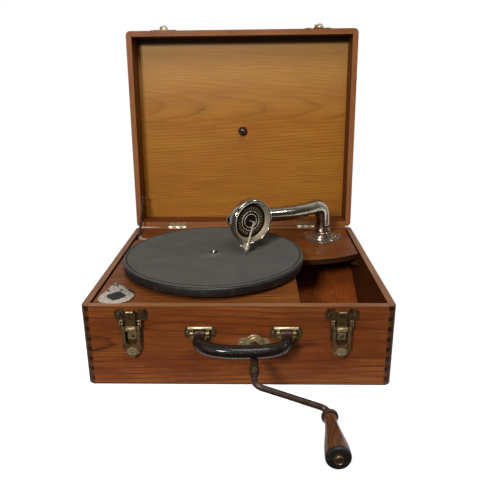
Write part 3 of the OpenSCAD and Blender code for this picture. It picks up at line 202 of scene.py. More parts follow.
def sawn_wood(name, order, heart, pale, middle, late, end, ring=3.6, taper=0.02, sway=5, stretch=230,
              lean=0, shift=0, rim=None, worn="#8d6848", dark_ends_and_foot=None, rough=(0.36, 0.55), gloss=0.0,
              streak=0.75, blush="#6a2f10", cloudy=0.8, shade_and_stain=None, stain="#1d0d06", painted_sheen_band=None, painted_shadow_top=None):
    """Boards with the grain along the first axis of order. heart is the tree's middle line, in mm
    across and in mm deep; ring is a year's width, sway and stretch the wander of the grain;
    dark_ends_and_foot is the board's half length and the height of its lower edge, towards which the
    colour darkens; shade_and_stain is the way that a darkened face looks and how far it is darkened
    towards the colour stain, which is painted shade on faces turned from the light and a real stain on
    the lid panel's outside; painted_sheen_band gives two heights between which a painted sheen pales
    the varnish, and painted_shadow_top the height above which the top rail's shadow is painted."""
    material, tree, shader, mm, normal = finish_called(name)
    if lean:
        turn = (math.radians(lean), 0, 0)
        mm = add(tree, "Mapping", {0: mm, "Rotation": turn})
        normal = add(tree, "Mapping", {0: normal, "Rotation": turn})
    split = add(tree, "SeparateXYZ", {0: mm})
    long, wide, deep = (split.outputs["XYZ".index(axis)] for axis in order)
    deep = add(tree, "Math", {0: deep}, operation="ABSOLUTE")
    board = add(tree, "CombineXYZ", {0: long, 1: wide, 2: deep})
    board = add(tree, "Mapping", {0: board, "Location": (shift, -heart[0], -heart[1])})

    # Five noises, each with its length along the grain and its width across it in mm
    noises = []
    for along, over, begin, detail, roughness in (
            (stretch, 48, (0, 0, 0), 3, 0.5), (60, 14, (7, 3, 5), 2, 0.5), (70, 2.0, (0, 0, 0), 4, 0.65),
            (13, 0.7, (0, 0, 0), 2, 0.5), (130, 38, (0, 0, 0), 4, 0.6)):
        drawn_out = add(tree, "Mapping", {0: board, "Scale": (1 / along, 1 / over, 1 / over), "Location": begin})
        noises.append(add(tree, "TexNoise", {"Vector": drawn_out, "Scale": 1, "Detail": detail,
                                             "Roughness": roughness}))
    wavy, mild, thread, pits, cloud = noises

    # Yearly rings, whose phase drifts with the taper and the wander of the trunk
    drift = add(tree, "Math", {0: long, 1: taper, 2: 0}, operation="MULTIPLY_ADD")
    drift = add(tree, "Math", {0: wavy, 1: sway * 2, 2: drift}, operation="MULTIPLY_ADD")
    phase = add(tree, "Math", {0: drift, 1: 2 * math.pi / ring}, operation="MULTIPLY")
    rings = add(tree, "TexWave", {"Vector": board, "Scale": ONE_WAVE / ring, "Phase Offset": phase},
                wave_type="RINGS", rings_direction="X", wave_profile="SAW")
    year = add(tree, "ValToRGB", {0: rings.outputs["Fac"]},
               stops=[(0.0, middle), (0.15, pale), (0.6, pale), (0.86, middle), (0.95, late), (1.0, middle)])
    bold = add(tree, "MapRange", {"Value": mild, "From Min": 0.35, "From Max": 0.65, "To Min": 0.35, "To Max": 1.0})
    fibre = add(tree, "ValToRGB", {0: thread}, stops=[(0.32, 0.50), (0.5, 0.97), (0.68, 1.22)])
    pore = add(tree, "ValToRGB", {0: pits}, stops=[(0.62, 0.0), (0.72, 0.7)])
    red = add(tree, "MapRange", {"Value": cloud, "From Min": 0.62, "From Max": 0.38, "To Max": 0.55})
    shade = add(tree, "ValToRGB", {0: cloud}, stops=[(0.3, 0.66), (0.52, 1.0), (0.72, 1.18)])

    # The colour's layers from the wood up: how much of each, what it is, and how it is laid on
    layers = [(bold, year, "MIX"), (streak, fibre, "MULTIPLY"), (pore, linear(late), "MIX"),
              (red, linear(blush), "MIX"), (cloudy, shade, "MULTIPLY")]
    # between two heights the colour turns paler towards the top: a painted sheen of the varnish
    if painted_sheen_band:
        painted_sheen = add(tree, "MapRange", {"Value": wide, "From Min": painted_sheen_band[0], "From Max": painted_sheen_band[1], "To Max": 0.5})
        layers.append((painted_sheen, linear("#b28a55"), "MIX"))
    # above one height the colour turns near black: the top rail's shadow, painted on the panel
    if painted_shadow_top:
        painted_rail_shadow = add(tree, "MapRange", {"Value": wide, "From Min": painted_shadow_top - 2.5, "From Max": painted_shadow_top + 1.5,
                                      "To Max": 0.85})
        layers.append((painted_rail_shadow, linear("#1a0b05"), "MIX"))
    # faces turned one way are darkened: painted shade on faces turned from the light, and a real stain on the lid
    # panel's outside
    if shade_and_stain:
        shade_and_stain_share = add(tree, "VectorMath", {0: normal, 1: shade_and_stain[0]}, operation="DOT_PRODUCT")
        shade_and_stain_share = add(tree, "MapRange", {"Value": shade_and_stain_share, "From Min": 0.5, "From Max": 0.85,
                                           "To Max": shade_and_stain[1]})
        layers.append((shade_and_stain_share, linear(stain), "MIX"))
    facing = add(tree, "SeparateXYZ", {0: normal})
    facing = add(tree, "Math", {0: facing.outputs["XYZ".index(order[0])]}, operation="ABSOLUTE")
    facing = add(tree, "MapRange", {"Value": facing, "From Min": 0.6, "From Max": 0.8})
    sawn = add(tree, "Mix", {0: fibre, 6: linear(late), 7: linear(end)}, data_type="RGBA")
    layers.append((facing, sawn, "MIX"))
    # darker within a few millimetres of the board's ends and of its lower edge
    if dark_ends_and_foot:
        reach = add(tree, "Math", {0: long}, operation="ABSOLUTE")
        reach = add(tree, "Math", {0: cloud, 1: 5.0, 2: reach}, operation="MULTIPLY_ADD")
        tips = add(tree, "MapRange", {"Value": reach, "From Min": dark_ends_and_foot[0] - 7.5, "From Max": dark_ends_and_foot[0] - 3.5,
                                      "To Max": 0.72})
        foot = add(tree, "MapRange", {"Value": wide, "From Min": dark_ends_and_foot[1] + 4, "From Max": dark_ends_and_foot[1] + 0.5,
                                      "To Max": 0.8})
        ends_and_foot_darkness = add(tree, "Math", {0: tips, 1: foot}, operation="MAXIMUM")
        layers.append((ends_and_foot_darkness, linear("#24120a"), "MIX"))
    if rim:
        upward = add(tree, "VectorMath", {0: normal, 1: rim}, operation="DOT_PRODUCT")
        upward = add(tree, "MapRange", {"Value": upward, "From Min": 0.5, "From Max": 0.95})
        rubbed = add(tree, "Math", {0: upward, 1: cloud}, operation="MULTIPLY")
        layers.append((rubbed, linear(worn), "MIX"))
    coloured = linear(middle)
    for share, colour, how in layers:
        coloured = add(tree, "Mix", {0: share, 6: coloured, 7: colour}, data_type="RGBA", blend_type=how)

    matt = add(tree, "MapRange", {"Value": thread, "To Min": rough[1], "To Max": rough[0]})
    grain = add(tree, "Math", {0: fibre, 1: pore}, operation="SUBTRACT")
    relief = add(tree, "Bump", {"Strength": 0.3, "Distance": 0.0002, "Height": grain})
    plug(tree, shader, {"Base Color": coloured, "Roughness": matt, "Normal": relief, "IOR": 1.5,
                        "Specular IOR Level": 0.1, "Coat Weight": gloss, "Coat Roughness": 0.2})
    return material


# %% Oak of the case and the lid: red-brown, darker at the boards' ends and lower edges, with painted shade on inward faces and under the top rail, and rims that hands rubbed pale
oak = dict(pale="#74401a", middle="#633414", late="#34190a", end="#26130b", ring=5.2, streak=1.0, cloudy=1.0)
HALF_WIDE, HALF_DEEP = 187.5, 162.5  # of the case, in mm
across = sawn_wood("Oiled oak, boards across", "XZY", (58, 118), shift=40, rim=(0, 0, 1),
                   dark_ends_and_foot=(HALF_WIDE, 0), **oak)
# the side boards' inward faces are painted darker, as their shade
left_side, right_side = (
    sawn_wood("Oiled oak, %s board" % side, "YZX", (40, 127), rim=(0, 0, 1), dark_ends_and_foot=(HALF_DEEP, 0),
              shade_and_stain=((inward, 0, 0), 0.6), **oak) for side, inward in (("left", 1), ("right", -1)))
# the underside of the lid's top rail is painted near black, as its shade
lid_across = sawn_wood("Oiled oak, lid rails across", "XYZ", (180, 400), rim=(0, -1, 0), worn="#8a5a35",
                       shade_and_stain=((0, 0, -1), 0.85), **oak)
# the lid's side rails get a little painted shade on their inward faces
lid_left, lid_right = (
    sawn_wood("Oiled oak, lid rail %s" % side, "ZYX", (180, 147), lean=3.2, rim=(0, -1, 0), worn="#8a5a35",
              shade_and_stain=((inward, 0, 0), 0.1), **oak) for side, inward in (("left", 1), ("right", -1)))

# %% Varnished motor board and plain deal inside, with painted shade on faces turned to the front, and a yellow panel with a painted sheen, a painted rail shadow at its top and an outside stained like the case
# the motor board's faces turned to the front are painted dark, as shade
deck_wood = sawn_wood("Varnished oak, motor board", "XYZ", (-40, 36), pale="#7c4a20", middle="#613515",
                      late="#3a1e0b", end="#26140b", ring=5.5, taper=0.04, sway=8, rough=(0.42, 0.6),
                      gloss=0.02, shade_and_stain=((0, -1, 0), 0.9))
# the panel is painted paler towards its top as a sheen and near black at its very top as the top rail's shadow; its
# outside is stained like the case
panel_wood = sawn_wood("Varnished pine, lid panel", "XZY", (322, 158), pale="#966320", middle="#89571a",
                       late="#6f4413", end="#6a4420", ring=4.6, taper=0.05, sway=7, stretch=380, shift=-60,
                       lean=3.2, rough=(0.40, 0.55), streak=0.5, blush="#95591c", cloudy=0.5,
                       shade_and_stain=((0, 1, 0), 0.75), stain="#5a2a10", painted_sheen_band=(300, 420), painted_shadow_top=424)
horn_wood = sawn_wood("Stained deal, horn boards", "YXZ", (-420, -10), pale="#8a4518", middle="#733711",
                      late="#5a2b0e", end="#24130a", ring=5, rough=(0.45, 0.6))
# the inside boards' faces turned to the front are painted darker, as shade
inner_wood = sawn_wood("Raw deal, inside boards", "XYZ", (0, -30), pale="#7a5230", middle="#68431f",
                       late="#452a13", end="#3a2412", ring=5, rough=(0.55, 0.7), shade_and_stain=((0, -1, 0), 0.8))
print(len(bpy.data.materials), "materials after the woods")

# %% [markdown]
# ## Metals
# Nickel plate is a thin bright skin on brass. Ninety years of hands leave it grey and cloudy, with
# brown freckles where the skin is through. Bronze-lacquered latches, rubbed brass caps and the
# browned steel crank age in the same way but in other colours, so one function makes them all.

# %% Metal finish
def aged_metal(name, tone, stain, share=0.5, patch=6.0, rough=(0.16, 0.34), metallic=1.0, speck=0.0,
               scratch=0.04, coat=0.0, painted_underside_shade=0.0):
    """A metal skin of one tone that is stained in patches of a size in mm, over a share of it;
    painted_underside_shade is how far its downward faces are painted dark, as their shade."""
    material, tree, shader, mm, normal = finish_called(name)
    large = add(tree, "TexNoise", {"Vector": mm, "Scale": 1 / patch, "Detail": 5, "Roughness": 0.62})
    cover = add(tree, "ValToRGB", {0: large}, stops=[(0.62 - 0.35 * share, 0.0), (0.82 - 0.30 * share, 1.0)])
    fine = add(tree, "TexNoise", {"Vector": mm, "Scale": 1.6, "Detail": 3})
    dots = add(tree, "ValToRGB", {0: fine}, stops=[(0.60, 0.0), (0.68, speck)])
    layers = [(cover, stain), (dots, "#3b2a1c")]
    # faces looking down are darkened: painted shade
    if painted_underside_shade:
        underside_shade = add(tree, "VectorMath", {0: normal, 1: (0, 0, -1)}, operation="DOT_PRODUCT")
        underside_shade = add(tree, "MapRange", {"Value": underside_shade, "From Min": 0.0, "From Max": 0.5, "To Max": painted_underside_shade})
        layers.append((underside_shade, "#1c140e"))
    coloured = linear(tone)
    for amount, colour in layers:
        coloured = add(tree, "Mix", {0: amount, 6: coloured, 7: linear(colour)}, data_type="RGBA")
    matt = add(tree, "MapRange", {"Value": large, "From Min": 0.3, "From Max": 0.7,
                                  "To Min": rough[0], "To Max": rough[1]})
    line = add(tree, "Mapping", {0: mm, "Scale": (0.12, 1.9, 0.9)})
    line = add(tree, "TexNoise", {"Vector": line, "Scale": 1, "Detail": 3})
    relief = add(tree, "Bump", {"Strength": scratch, "Distance": 0.0004, "Height": line})
    plug(tree, shader, {"Base Color": coloured, "Roughness": matt, "Normal": relief, "Metallic": metallic,
                        "Coat Weight": coat})
    return material


# %% Nickel: a mirror on the tonearm, painted dark on its underside as shade, browned on its flange, chalky on the needle cup, cream in the bowl
nickel = aged_metal("Worn nickel plate", "#c4bbab", "#857a6a", share=0.4, patch=14, speck=0.35,
                    rough=(0.09, 0.22), scratch=0.02)
# the gooseneck's nickel is painted dark on its underside, as shade
tube_nickel = aged_metal("Nickel plate, painted dark below", "#c4bbab", "#857a6a", share=0.4, patch=14, speck=0.35,
                         rough=(0.12, 0.24), scratch=0.02, painted_underside_shade=0.65)
dark_nickel = aged_metal("Nickel worn to brown", "#a08d78", "#5f4b3a", share=0.35, patch=14, speck=0.1,
                         rough=(0.14, 0.26), metallic=0.85, scratch=0.01)
pale_nickel = aged_metal("Nickel gone chalky", "#c0b6a5", "#6b5c4b", patch=3, speck=1.0,
                         rough=(0.4, 0.6), metallic=0.35, scratch=0.05)
rubbed_nickel = aged_metal("Nickel rubbed bright", "#cfc2ab", "#917e66", share=0.45, patch=4, speck=0.4,
                           rough=(0.25, 0.45), metallic=0.5)
cream_nickel = aged_metal("Satin nickel, yellowed", "#a2937b", "#7c6d57", share=0.3, patch=8, speck=0.2,
                          rough=(0.4, 0.55), metallic=0.45, scratch=0.02)
dull_nickel = aged_metal("Dull nickel plate", "#b9b4a8", "#8b8478", patch=5, speck=0.8,
                         rough=(0.32, 0.55), scratch=0.10)

# %% Bronze and brass: dark and waxy where lacquer stays, tan and soft where hands took it off, and the palest brass partly a painted highlight
latch_bronze = aged_metal("Bronze-lacquered steel", "#5d482c", "#302012", speck=0.25,
                          rough=(0.25, 0.42), metallic=0.7)
lever_bronze = aged_metal("Handled bronze lacquer", "#765a39", "#3f2b18", speck=0.25,
                          rough=(0.3, 0.46), metallic=0.65)
worn_bronze = aged_metal("Rubbed bronze edges", "#8f7c59", "#5f4c30", share=0.45, patch=4, speck=0.2,
                         rough=(0.30, 0.48), metallic=0.55)
face_bronze = aged_metal("Blackened bronze", "#1f1813", "#130e0b", patch=4, rough=(0.35, 0.5),
                         metallic=0.6)
# pale cream so that the rolled cap edges show a broad bright band: brass rubbed bright and partly a painted highlight
rubbed_brass_with_highlight = aged_metal("Brass rubbed bright, partly a painted highlight", "#e6d6b0", "#b79a68", share=0.35, patch=5, speck=0.15,
                        rough=(0.34, 0.5), metallic=0.7)
brass = aged_metal("Rubbed brass", "#7d6945", "#443420", share=0.55, patch=4, speck=0.4, rough=(0.2, 0.4),
                   metallic=0.8)

# %% Steel, lacquers and mica: brown and dry, clean and grey, black, wine red, or smoky and glassy
brown_steel = aged_metal("Browned steel", "#56423b", "#34241d", share=0.6, patch=5, speck=0.7,
                         rough=(0.36, 0.58), metallic=0.7, scratch=0.12)
bright_steel = aged_metal("Drawn steel", "#a7a49f", "#7c7872", share=0.4, patch=8, rough=(0.25, 0.4))
japan = aged_metal("Black japan enamel", "#0d0a08", "#2a1c14", share=0.3, patch=9, speck=0.2,
                   rough=(0.40, 0.6), metallic=0.0, coat=0.03)
lacquer = aged_metal("Red-brown lacquer", "#34150c", "#160806", share=0.4, patch=5, rough=(0.14, 0.25),
                     metallic=0.0, coat=0.5)
mica = aged_metal("Mica sheet", "#6b6153", "#4d4438", patch=9, rough=(0.12, 0.2), metallic=0.0,
                  coat=0.5)
thread_black = aged_metal("Waxed thread", "#14110f", "#25201c", patch=3, metallic=0.0, rough=(0.7, 0.9))
print(len(bpy.data.materials), "materials after the metals")

# %% [markdown]
# ## Felt, leather and turned wood
# Felt has no threads: it is matted wool that scatters light in every direction, so it gets a sheen
# and a fuzz of noise. Waxed leather is nearly black, with pebbles a millimetre across and
# creases across the grip. The crank's grip is beech from a lathe, its grain along its length.

# %% Felt finish
felt, tree, shader, mm, _ = finish_called("Grey wool felt")
fuzz = add(tree, "TexNoise", {"Vector": mm, "Scale": 1.1, "Detail": 6, "Roughness": 0.75})
wear = add(tree, "TexNoise", {"Vector": mm, "Scale": 1 / 32, "Detail": 4, "Roughness": 0.6})
tone = add(tree, "ValToRGB", {0: fuzz}, stops=[(0.3, "#36352f"), (0.5, "#45433d"), (0.72, "#55524b")])
worn = add(tree, "ValToRGB", {0: wear}, stops=[(0.3, 0.84), (0.7, 1.1)])
tone = add(tree, "Mix", {0: 1.0, 6: tone, 7: worn}, data_type="RGBA", blend_type="MULTIPLY")
relief = add(tree, "Bump", {"Strength": 0.5, "Distance": 0.0004, "Height": fuzz})
plug(tree, shader, {"Base Color": tone, "Normal": relief, "Roughness": 0.95, "Specular IOR Level": 0.15,
                    "Sheen Weight": 0.08, "Sheen Roughness": 0.5})
print(felt.name, "has", len(tree.nodes), "nodes")

# %% Leather finish
leather, tree, shader, mm, _ = finish_called("Waxed harness leather")
pebble = add(tree, "TexVoronoi", {"Vector": mm, "Scale": 0.9, "Randomness": 0.9}, feature="DISTANCE_TO_EDGE")
crease = add(tree, "TexWave", {"Vector": mm, "Scale": ONE_WAVE / 2.6, "Distortion": 1.6, "Detail": 2},
             wave_type="BANDS", bands_direction="X")
patch = add(tree, "TexNoise", {"Vector": mm, "Scale": 1 / 9, "Detail": 4})
deep = add(tree, "MapRange", {"Value": pebble, "From Max": 0.25})
ridge = add(tree, "Math", {0: crease.outputs["Fac"], 1: 0.9, 2: deep}, operation="MULTIPLY_ADD")
tone = add(tree, "ValToRGB", {0: patch}, stops=[(0.3, "#0e0907"), (0.55, "#180e0a"), (0.8, "#2c1a13")])
matt = add(tree, "MapRange", {"Value": patch, "To Min": 0.22, "To Max": 0.34})
relief = add(tree, "Bump", {"Strength": 0.3, "Distance": 0.0006, "Height": ridge})
plug(tree, shader, {"Base Color": tone, "Roughness": matt, "Normal": relief, "Specular IOR Level": 0.12,
                    "Coat Weight": 0.35, "Coat Roughness": 0.14})
print(leather.name, "has", len(tree.nodes), "nodes")

# %% Turned wood
grip_wood = sawn_wood("Turned beech", "YXZ", (90, 20), pale="#5f3c22", middle="#4a2b17", late="#27140a",
                      end="#1c100a", ring=2.4, sway=2.5, rough=(0.28, 0.42), blush="#3c1d0e",
                      gloss=0.2)
print(len(bpy.data.materials), "materials in all")

# %% [markdown]
# ## Helpers for shapes
# A part is modelled upright at zero and then seated in its frame, which is a place in mm and some
# turns. A lathe profile and a plate's outline are both a line of points, so one function draws such
# a line, and others spin it or fill it.

# %% Helpers that place and copy pieces
HERE = Matrix.Identity(4)


def at(place, *turns):
    """A frame at a place in mm, turned about its own axes in order."""
    where = Matrix.Translation(Vector(place) * MM)
    for axis, degrees in turns:
        where = where @ Matrix.Rotation(math.radians(degrees), 4, axis)
    return where


def only(piece):
    """Makes piece the one selected and active object."""
    if bpy.context.mode != "OBJECT":
        bpy.ops.object.mode_set(mode="OBJECT")
    bpy.ops.object.select_all(action="DESELECT")
    piece.select_set(True)
    bpy.context.view_layer.objects.active = piece
    return piece


def placed(piece, where):
    """Moves the mesh into a frame and keeps the origin at zero."""
    only(piece)
    piece.matrix_world = where @ piece.matrix_world
    bpy.context.view_layer.update()
    bpy.ops.object.transform_apply(location=True, rotation=True, scale=True)
    return piece


def dressed(piece, where, node, finish, name, sharp=30, stands_in=False):
    """Seats a piece on the body of a node; with stands_in it takes the node's place."""
    placed(piece, where)
    bpy.ops.object.shade_smooth_by_angle(angle=math.radians(sharp))
    piece.data.materials.clear()
    piece.data.materials.append(finish)
    piece.name = piece.data.name = name
    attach(piece, frame["nodes"][node]["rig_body"])
    if stands_in:
        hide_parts(node)
    return piece


def copied(piece):
    """A copy with its own mesh, not seated yet."""
    twin = bpy.data.objects.new(piece.name, piece.data.copy())
    bpy.context.scene.collection.objects.link(twin)
    return twin


def joined(pieces):
    """Several pieces as one mesh."""
    only(pieces[0])
    for piece in pieces:
        piece.select_set(True)
    bpy.ops.object.join()
    return bpy.context.object


forwards = at((0, 0, 0), ("X", 90)) @ Vector((0, 0, 1))
print("a part turned by 90 degrees about X has its top at", [round(v) for v in forwards])


# %% Helpers that make and cut shapes
def apply_all(piece):
    """Applies every modifier, from the top down."""
    only(piece)
    for modifier in list(piece.modifiers):
        bpy.ops.object.modifier_apply(modifier=modifier.name)
    return piece


def tidy_mesh(piece):
    """Merges doubled points and turns all faces outwards."""
    only(piece)
    bpy.ops.object.mode_set(mode="EDIT")
    bpy.ops.mesh.select_all(action="SELECT")
    bpy.ops.mesh.remove_doubles(threshold=1e-6)
    bpy.ops.mesh.normals_make_consistent(inside=False)
    bpy.ops.object.mode_set(mode="OBJECT")
    return piece


def drawn(points):
    """A line through points in mm, all of it selected in edit mode."""
    only(frame["nodes"]["case_front"])
    bpy.ops.mesh.primitive_plane_add(size=MM)
    bpy.ops.object.mode_set(mode="EDIT")
    bpy.ops.mesh.merge(type="CENTER")
    bpy.ops.transform.translate(value=[v * MM for v in points[0]])
    for start, end in zip(points, points[1:]):
        bpy.ops.mesh.extrude_vertices_move(
            TRANSFORM_OT_translate={"value": [(b - a) * MM for a, b in zip(start, end)]})
    bpy.ops.mesh.select_all(action="SELECT")
    return bpy.context.object


def turned(profile, steps=64):
    """A profile of (radius, height) points in mm, spun round Z as on a lathe."""
    piece = drawn([(radius, 0, height) for radius, height in profile])
    bpy.ops.mesh.spin(steps=steps, angle=2 * math.pi, center=(0, 0, 0), axis=(0, 0, 1))
    bpy.ops.object.mode_set(mode="OBJECT")
    return tidy_mesh(piece)


def cut(piece, tool):
    """Takes the tool's volume out of the piece."""
    made = piece.modifiers.new("cut", "BOOLEAN")
    made.operation = "DIFFERENCE"
    made.object = tool
    made.solver = "EXACT"
    apply_all(piece)
    bpy.data.objects.remove(tool)
    return piece


def block(low, high):
    """A box between two corners in mm, as a start."""
    bpy.ops.object.select_all(action="DESELECT")
    bpy.ops.mesh.primitive_cube_add(size=MM)
    size = Matrix.Diagonal((*[b - a for a, b in zip(low, high)], 1))
    return placed(bpy.context.object, at([(a + b) / 2 for a, b in zip(low, high)]) @ size)


def rounded(piece, width, segments=2, angle=35):
    """Rounds the sharp edges by a width in mm."""
    edge = piece.modifiers.new("edge", "BEVEL")
    edge.width = width * MM
    edge.segments = segments
    edge.limit_method = "ANGLE"
    edge.angle_limit = math.radians(angle)
    return apply_all(piece)


print("shapes are written in mm and drawn in metres, times", MM)

# %% Where the parts are, in mm
FRONT = -HALF_DEEP                  # face of the case's front board
PLATE_FACE = FRONT - 1.6            # face of the latches' and the handle's plates
TO_FRONT = ("X", 90)                # turns a part's top towards the viewer
ARM_X, ARM_Y = 130.5, 107           # axis of the tonearm
BOX_MIDDLE = (3.5, 1.5, 170.5)      # middle of the sound box
BOX_TURN, BAR_TURN = 33, -19        # how the box faces, and the stylus bar in it, in degrees
HANDLE_X, HANDLE_HALF = 6.5, 51.5   # the handle's middle and half its span
CRANK_X, CRANK_Z = 20, 60           # axis of the winding shaft
LATCHES = (("left", -127), ("right", 123.5))

HEAD = at(BOX_MIDDLE, ("Z", BOX_TURN), ("X", 90))
HANDLE = at((HANDLE_X, FRONT - 6, 75), ("X", 4.185))
SOCKET = at((CRANK_X, FRONT, CRANK_Z), TO_FRONT)
CRANK = at((CRANK_X, FRONT - 91, CRANK_Z), ("Y", 20))
TABLE = at((-38, -18, 0))
CUP = at((-151, -126.5, 0))
print("frames at", [round(v / MM, 1) for v in HEAD.translation], "and", [round(v / MM, 1) for v in CRANK.translation])

# %% [markdown]
# ## Screws
# Every fitting is held by slotted, round-headed screws. One head is turned from a profile, its slot
# is cut with a thin block, and each screw on the object is a copy with its slot turned its own way.

# %% One screw head, and copies where they belong
screw_head = turned([(0, 1.0), (0.45, 0.93), (0.8, 0.62), (1.0, 0.1), (1.0, -0.3), (0, -0.3)], steps=24)
screw_head = cut(screw_head, block((-1.3, -0.14, 0.35), (1.3, 0.14, 2)))


def screws(places, node, finish, name, radius, height, turns=(TO_FRONT,)):
    """Copies of the head at places in mm, joined to one piece."""
    size = Matrix.Diagonal((radius, radius, height, 1))
    made = [placed(copied(screw_head), at(place, *turns, ("Z", 37 + 61 * i)) @ size)
            for i, place in enumerate(places)]
    print(name, len(made))
    return dressed(joined(made), HERE, node, finish, name, 40)


screws([(x + s * 15, PLATE_FACE, 97.5) for _, x in LATCHES for s in (-1, 1)], "latch_plates", latch_bronze,
       "latch_plate_screws", 2.4, 1.3)
screws([(HANDLE_X + s * HANDLE_HALF + k * 15.2, PLATE_FACE, 74) for s in (-1, 1) for k in (-1, 1)],
       "handle_caps", brass, "handle_cap_screws", 2.3, 1.3)
screws([(CRANK_X + s * 15.5, FRONT - 1.4, CRANK_Z) for s in (-1, 1)], "crank_escutcheon", worn_bronze,
       "escutcheon_screws", 2.2, 1.3)

# %% [markdown]
# ## Turntable
# The platter is a pressed steel dish in black japan, with a rolled bead at its foot. Its felt is a
# sheet cut to a disc and sewn round its edge with black waxed thread, whose stitches are pulled
# into the felt. The spindle is a short bright pin in a dark hole of the felt.

# %% Platter dish
dish = turned([(121.5, 121.2), (123.6, 121.0), (125.4, 119.4), (125.6, 113.4), (124.6, 112.2), (124.8, 111.2),
               (125.8, 111.0), (126.6, 111.3), (127.0, 112.4), (127.0, 118.9), (126.6, 121.2), (125.6, 122.4),
               (124.0, 123.0), (118.0, 123.0), (4.2, 123.0), (4.2, 112.0), (10.0, 112.0), (11.0, 120.6),
               (16.0, 121.6), (118.0, 121.6), (121.5, 121.2)], steps=160)
dressed(dish, TABLE, "platter", japan, "platter_dish", 25, stands_in=True)
print("dish of", round(dish.dimensions.x / MM), "mm")

# %% Felt disc
disc = turned([(3.9, 123.05), (3.9, 124.4), (4.6, 125.0), (30, 125.0), (60, 125.0), (90, 125.0), (119.6, 125.0),
               (121.6, 124.85), (122.6, 124.3), (123.5, 124.75), (124.4, 124.9), (125.3, 124.6), (125.9, 123.9),
               (125.8, 123.2), (124.6, 123.05), (118, 123.05), (60, 123.05), (3.9, 123.05)], steps=190)
dressed(disc, TABLE, "platter_felt", felt, "felt_disc", 60, stands_in=True)
print("felt of", round(disc.dimensions.x / MM, 1), "mm")


# %% Stitches round the felt, the eyelet in its middle and the pin
def repeated(piece, count):
    """Copies the whole mesh round the Z axis, count times in a full turn."""
    only(piece)
    bpy.ops.object.mode_set(mode="EDIT")
    bpy.ops.mesh.select_all(action="SELECT")
    bpy.ops.mesh.spin(steps=count, dupli=True, angle=2 * math.pi, center=(0, 0, 0), axis=(0, 0, 1))
    return tidy_mesh(piece)


stitch = block((121.2, -1.6, 124.3), (124.0, 1.6, 125.0))
bpy.ops.object.mode_set(mode="EDIT")
bpy.ops.mesh.select_all(action="SELECT")
bpy.ops.mesh.subdivide(number_cuts=1)
bpy.ops.transform.tosphere(value=0.35)
dressed(repeated(stitch, 150), TABLE, "platter_felt", thread_black, "felt_stitches", 60)
pin = turned([(0, 128.4), (1.2, 128.3), (2.4, 127.7), (3.3, 126.4), (3.5, 125.2), (3.5, 113), (0, 113)], steps=40)
dressed(pin, TABLE, "turntable_spindle", nickel, "record_pin", 50)
eyelet = turned([(3.55, 124.6), (3.7, 125.15), (5.2, 125.2), (6.1, 125.05), (6.2, 124.7), (3.55, 124.6)], steps=48)
dressed(eyelet, TABLE, "platter_felt", face_bronze, "felt_eyelet", 50)
print("turntable dressed")

# %% [markdown]
# ## Sound box
# The sound box is a turned nickel ring. Inside its rim a cream-bright cone falls to a dark face with
# two raised rings and a circle of short bars, which stands for pressed decoration. The stylus bar
# comes out of the middle and runs over the rim to the needle chuck.

# %% Shell, with a slot for the bar, and its face and bowl
shell = turned([(5, 13), (9, 13), (12, 14), (26, 14), (29.6, 14.6), (31.4, 16.2), (32, 18.4), (32, 25.0), (31.8, 26.4),
                (31.1, 27.4), (30.2, 27.8), (29.4, 27.4), (28.9, 26.7), (28.6, 26.6), (28.2, 27.3), (27.7, 27.8),
                (27.2, 27.6), (27.0, 27.0), (27.6, 25.6), (27.6, 18.6), (24.5, 18.6), (24.5, 16), (5, 16), (5, 13)],
               steps=128)
bar_slot = placed(block((-2.6, -35, 22), (2.6, -30.8, 42)), at((0, 0, 0), ("Z", BAR_TURN)))
dressed(cut(shell, bar_slot), HEAD, "soundbox_shell", nickel, "soundbox_ring", 35, stands_in=True)
face = turned([(24.6, 19.2), (24.6, 20.4), (22.4, 20.9), (21.6, 20.7), (15.6, 20.7), (15.0, 20.9), (13.6, 20.9),
               (11.9, 20.6), (9.2, 20.6), (8.0, 20.4), (7.4, 19.9), (1.2, 19.9), (1.2, 19.2), (24.6, 19.2)], steps=96)
dressed(face, HEAD, "soundbox_face", face_bronze, "soundbox_plate", 35, stands_in=True)
bowl = turned([(24.0, 18.7), (24.6, 20.6), (25.3, 21.6), (26.3, 24.0), (26.8, 26.4), (27.1, 27.0), (27.5, 26.6),
               (27.5, 18.7), (24.0, 18.7)], steps=128)
dressed(bowl, HEAD, "soundbox_shell", cream_nickel, "soundbox_bowl", 35)
print("sound box of", round(shell.dimensions.z / MM), "mm")

# %% Raised rings and bars on the face
circle = [(0.55 * math.cos(math.radians(a)), 0.5 * math.sin(math.radians(a))) for a in range(0, 361, 45)]
rings = [turned([(radius + out, height + up) for out, up in circle], steps=96)
         for radius, height in ((13.9, 21.1), (9.7, 21.1), (27.8, 27.5))]
dressed(joined(rings), HEAD, "soundbox_face", rubbed_nickel, "soundbox_rings", 50)
bars = repeated(rounded(block((16.2, -0.7, 20.5), (20.2, 0.7, 21.4)), 0.2, 1), 30)
dressed(bars, HEAD, "soundbox_face", worn_bronze, "soundbox_bars", 50)
print(len(rings), "rings")

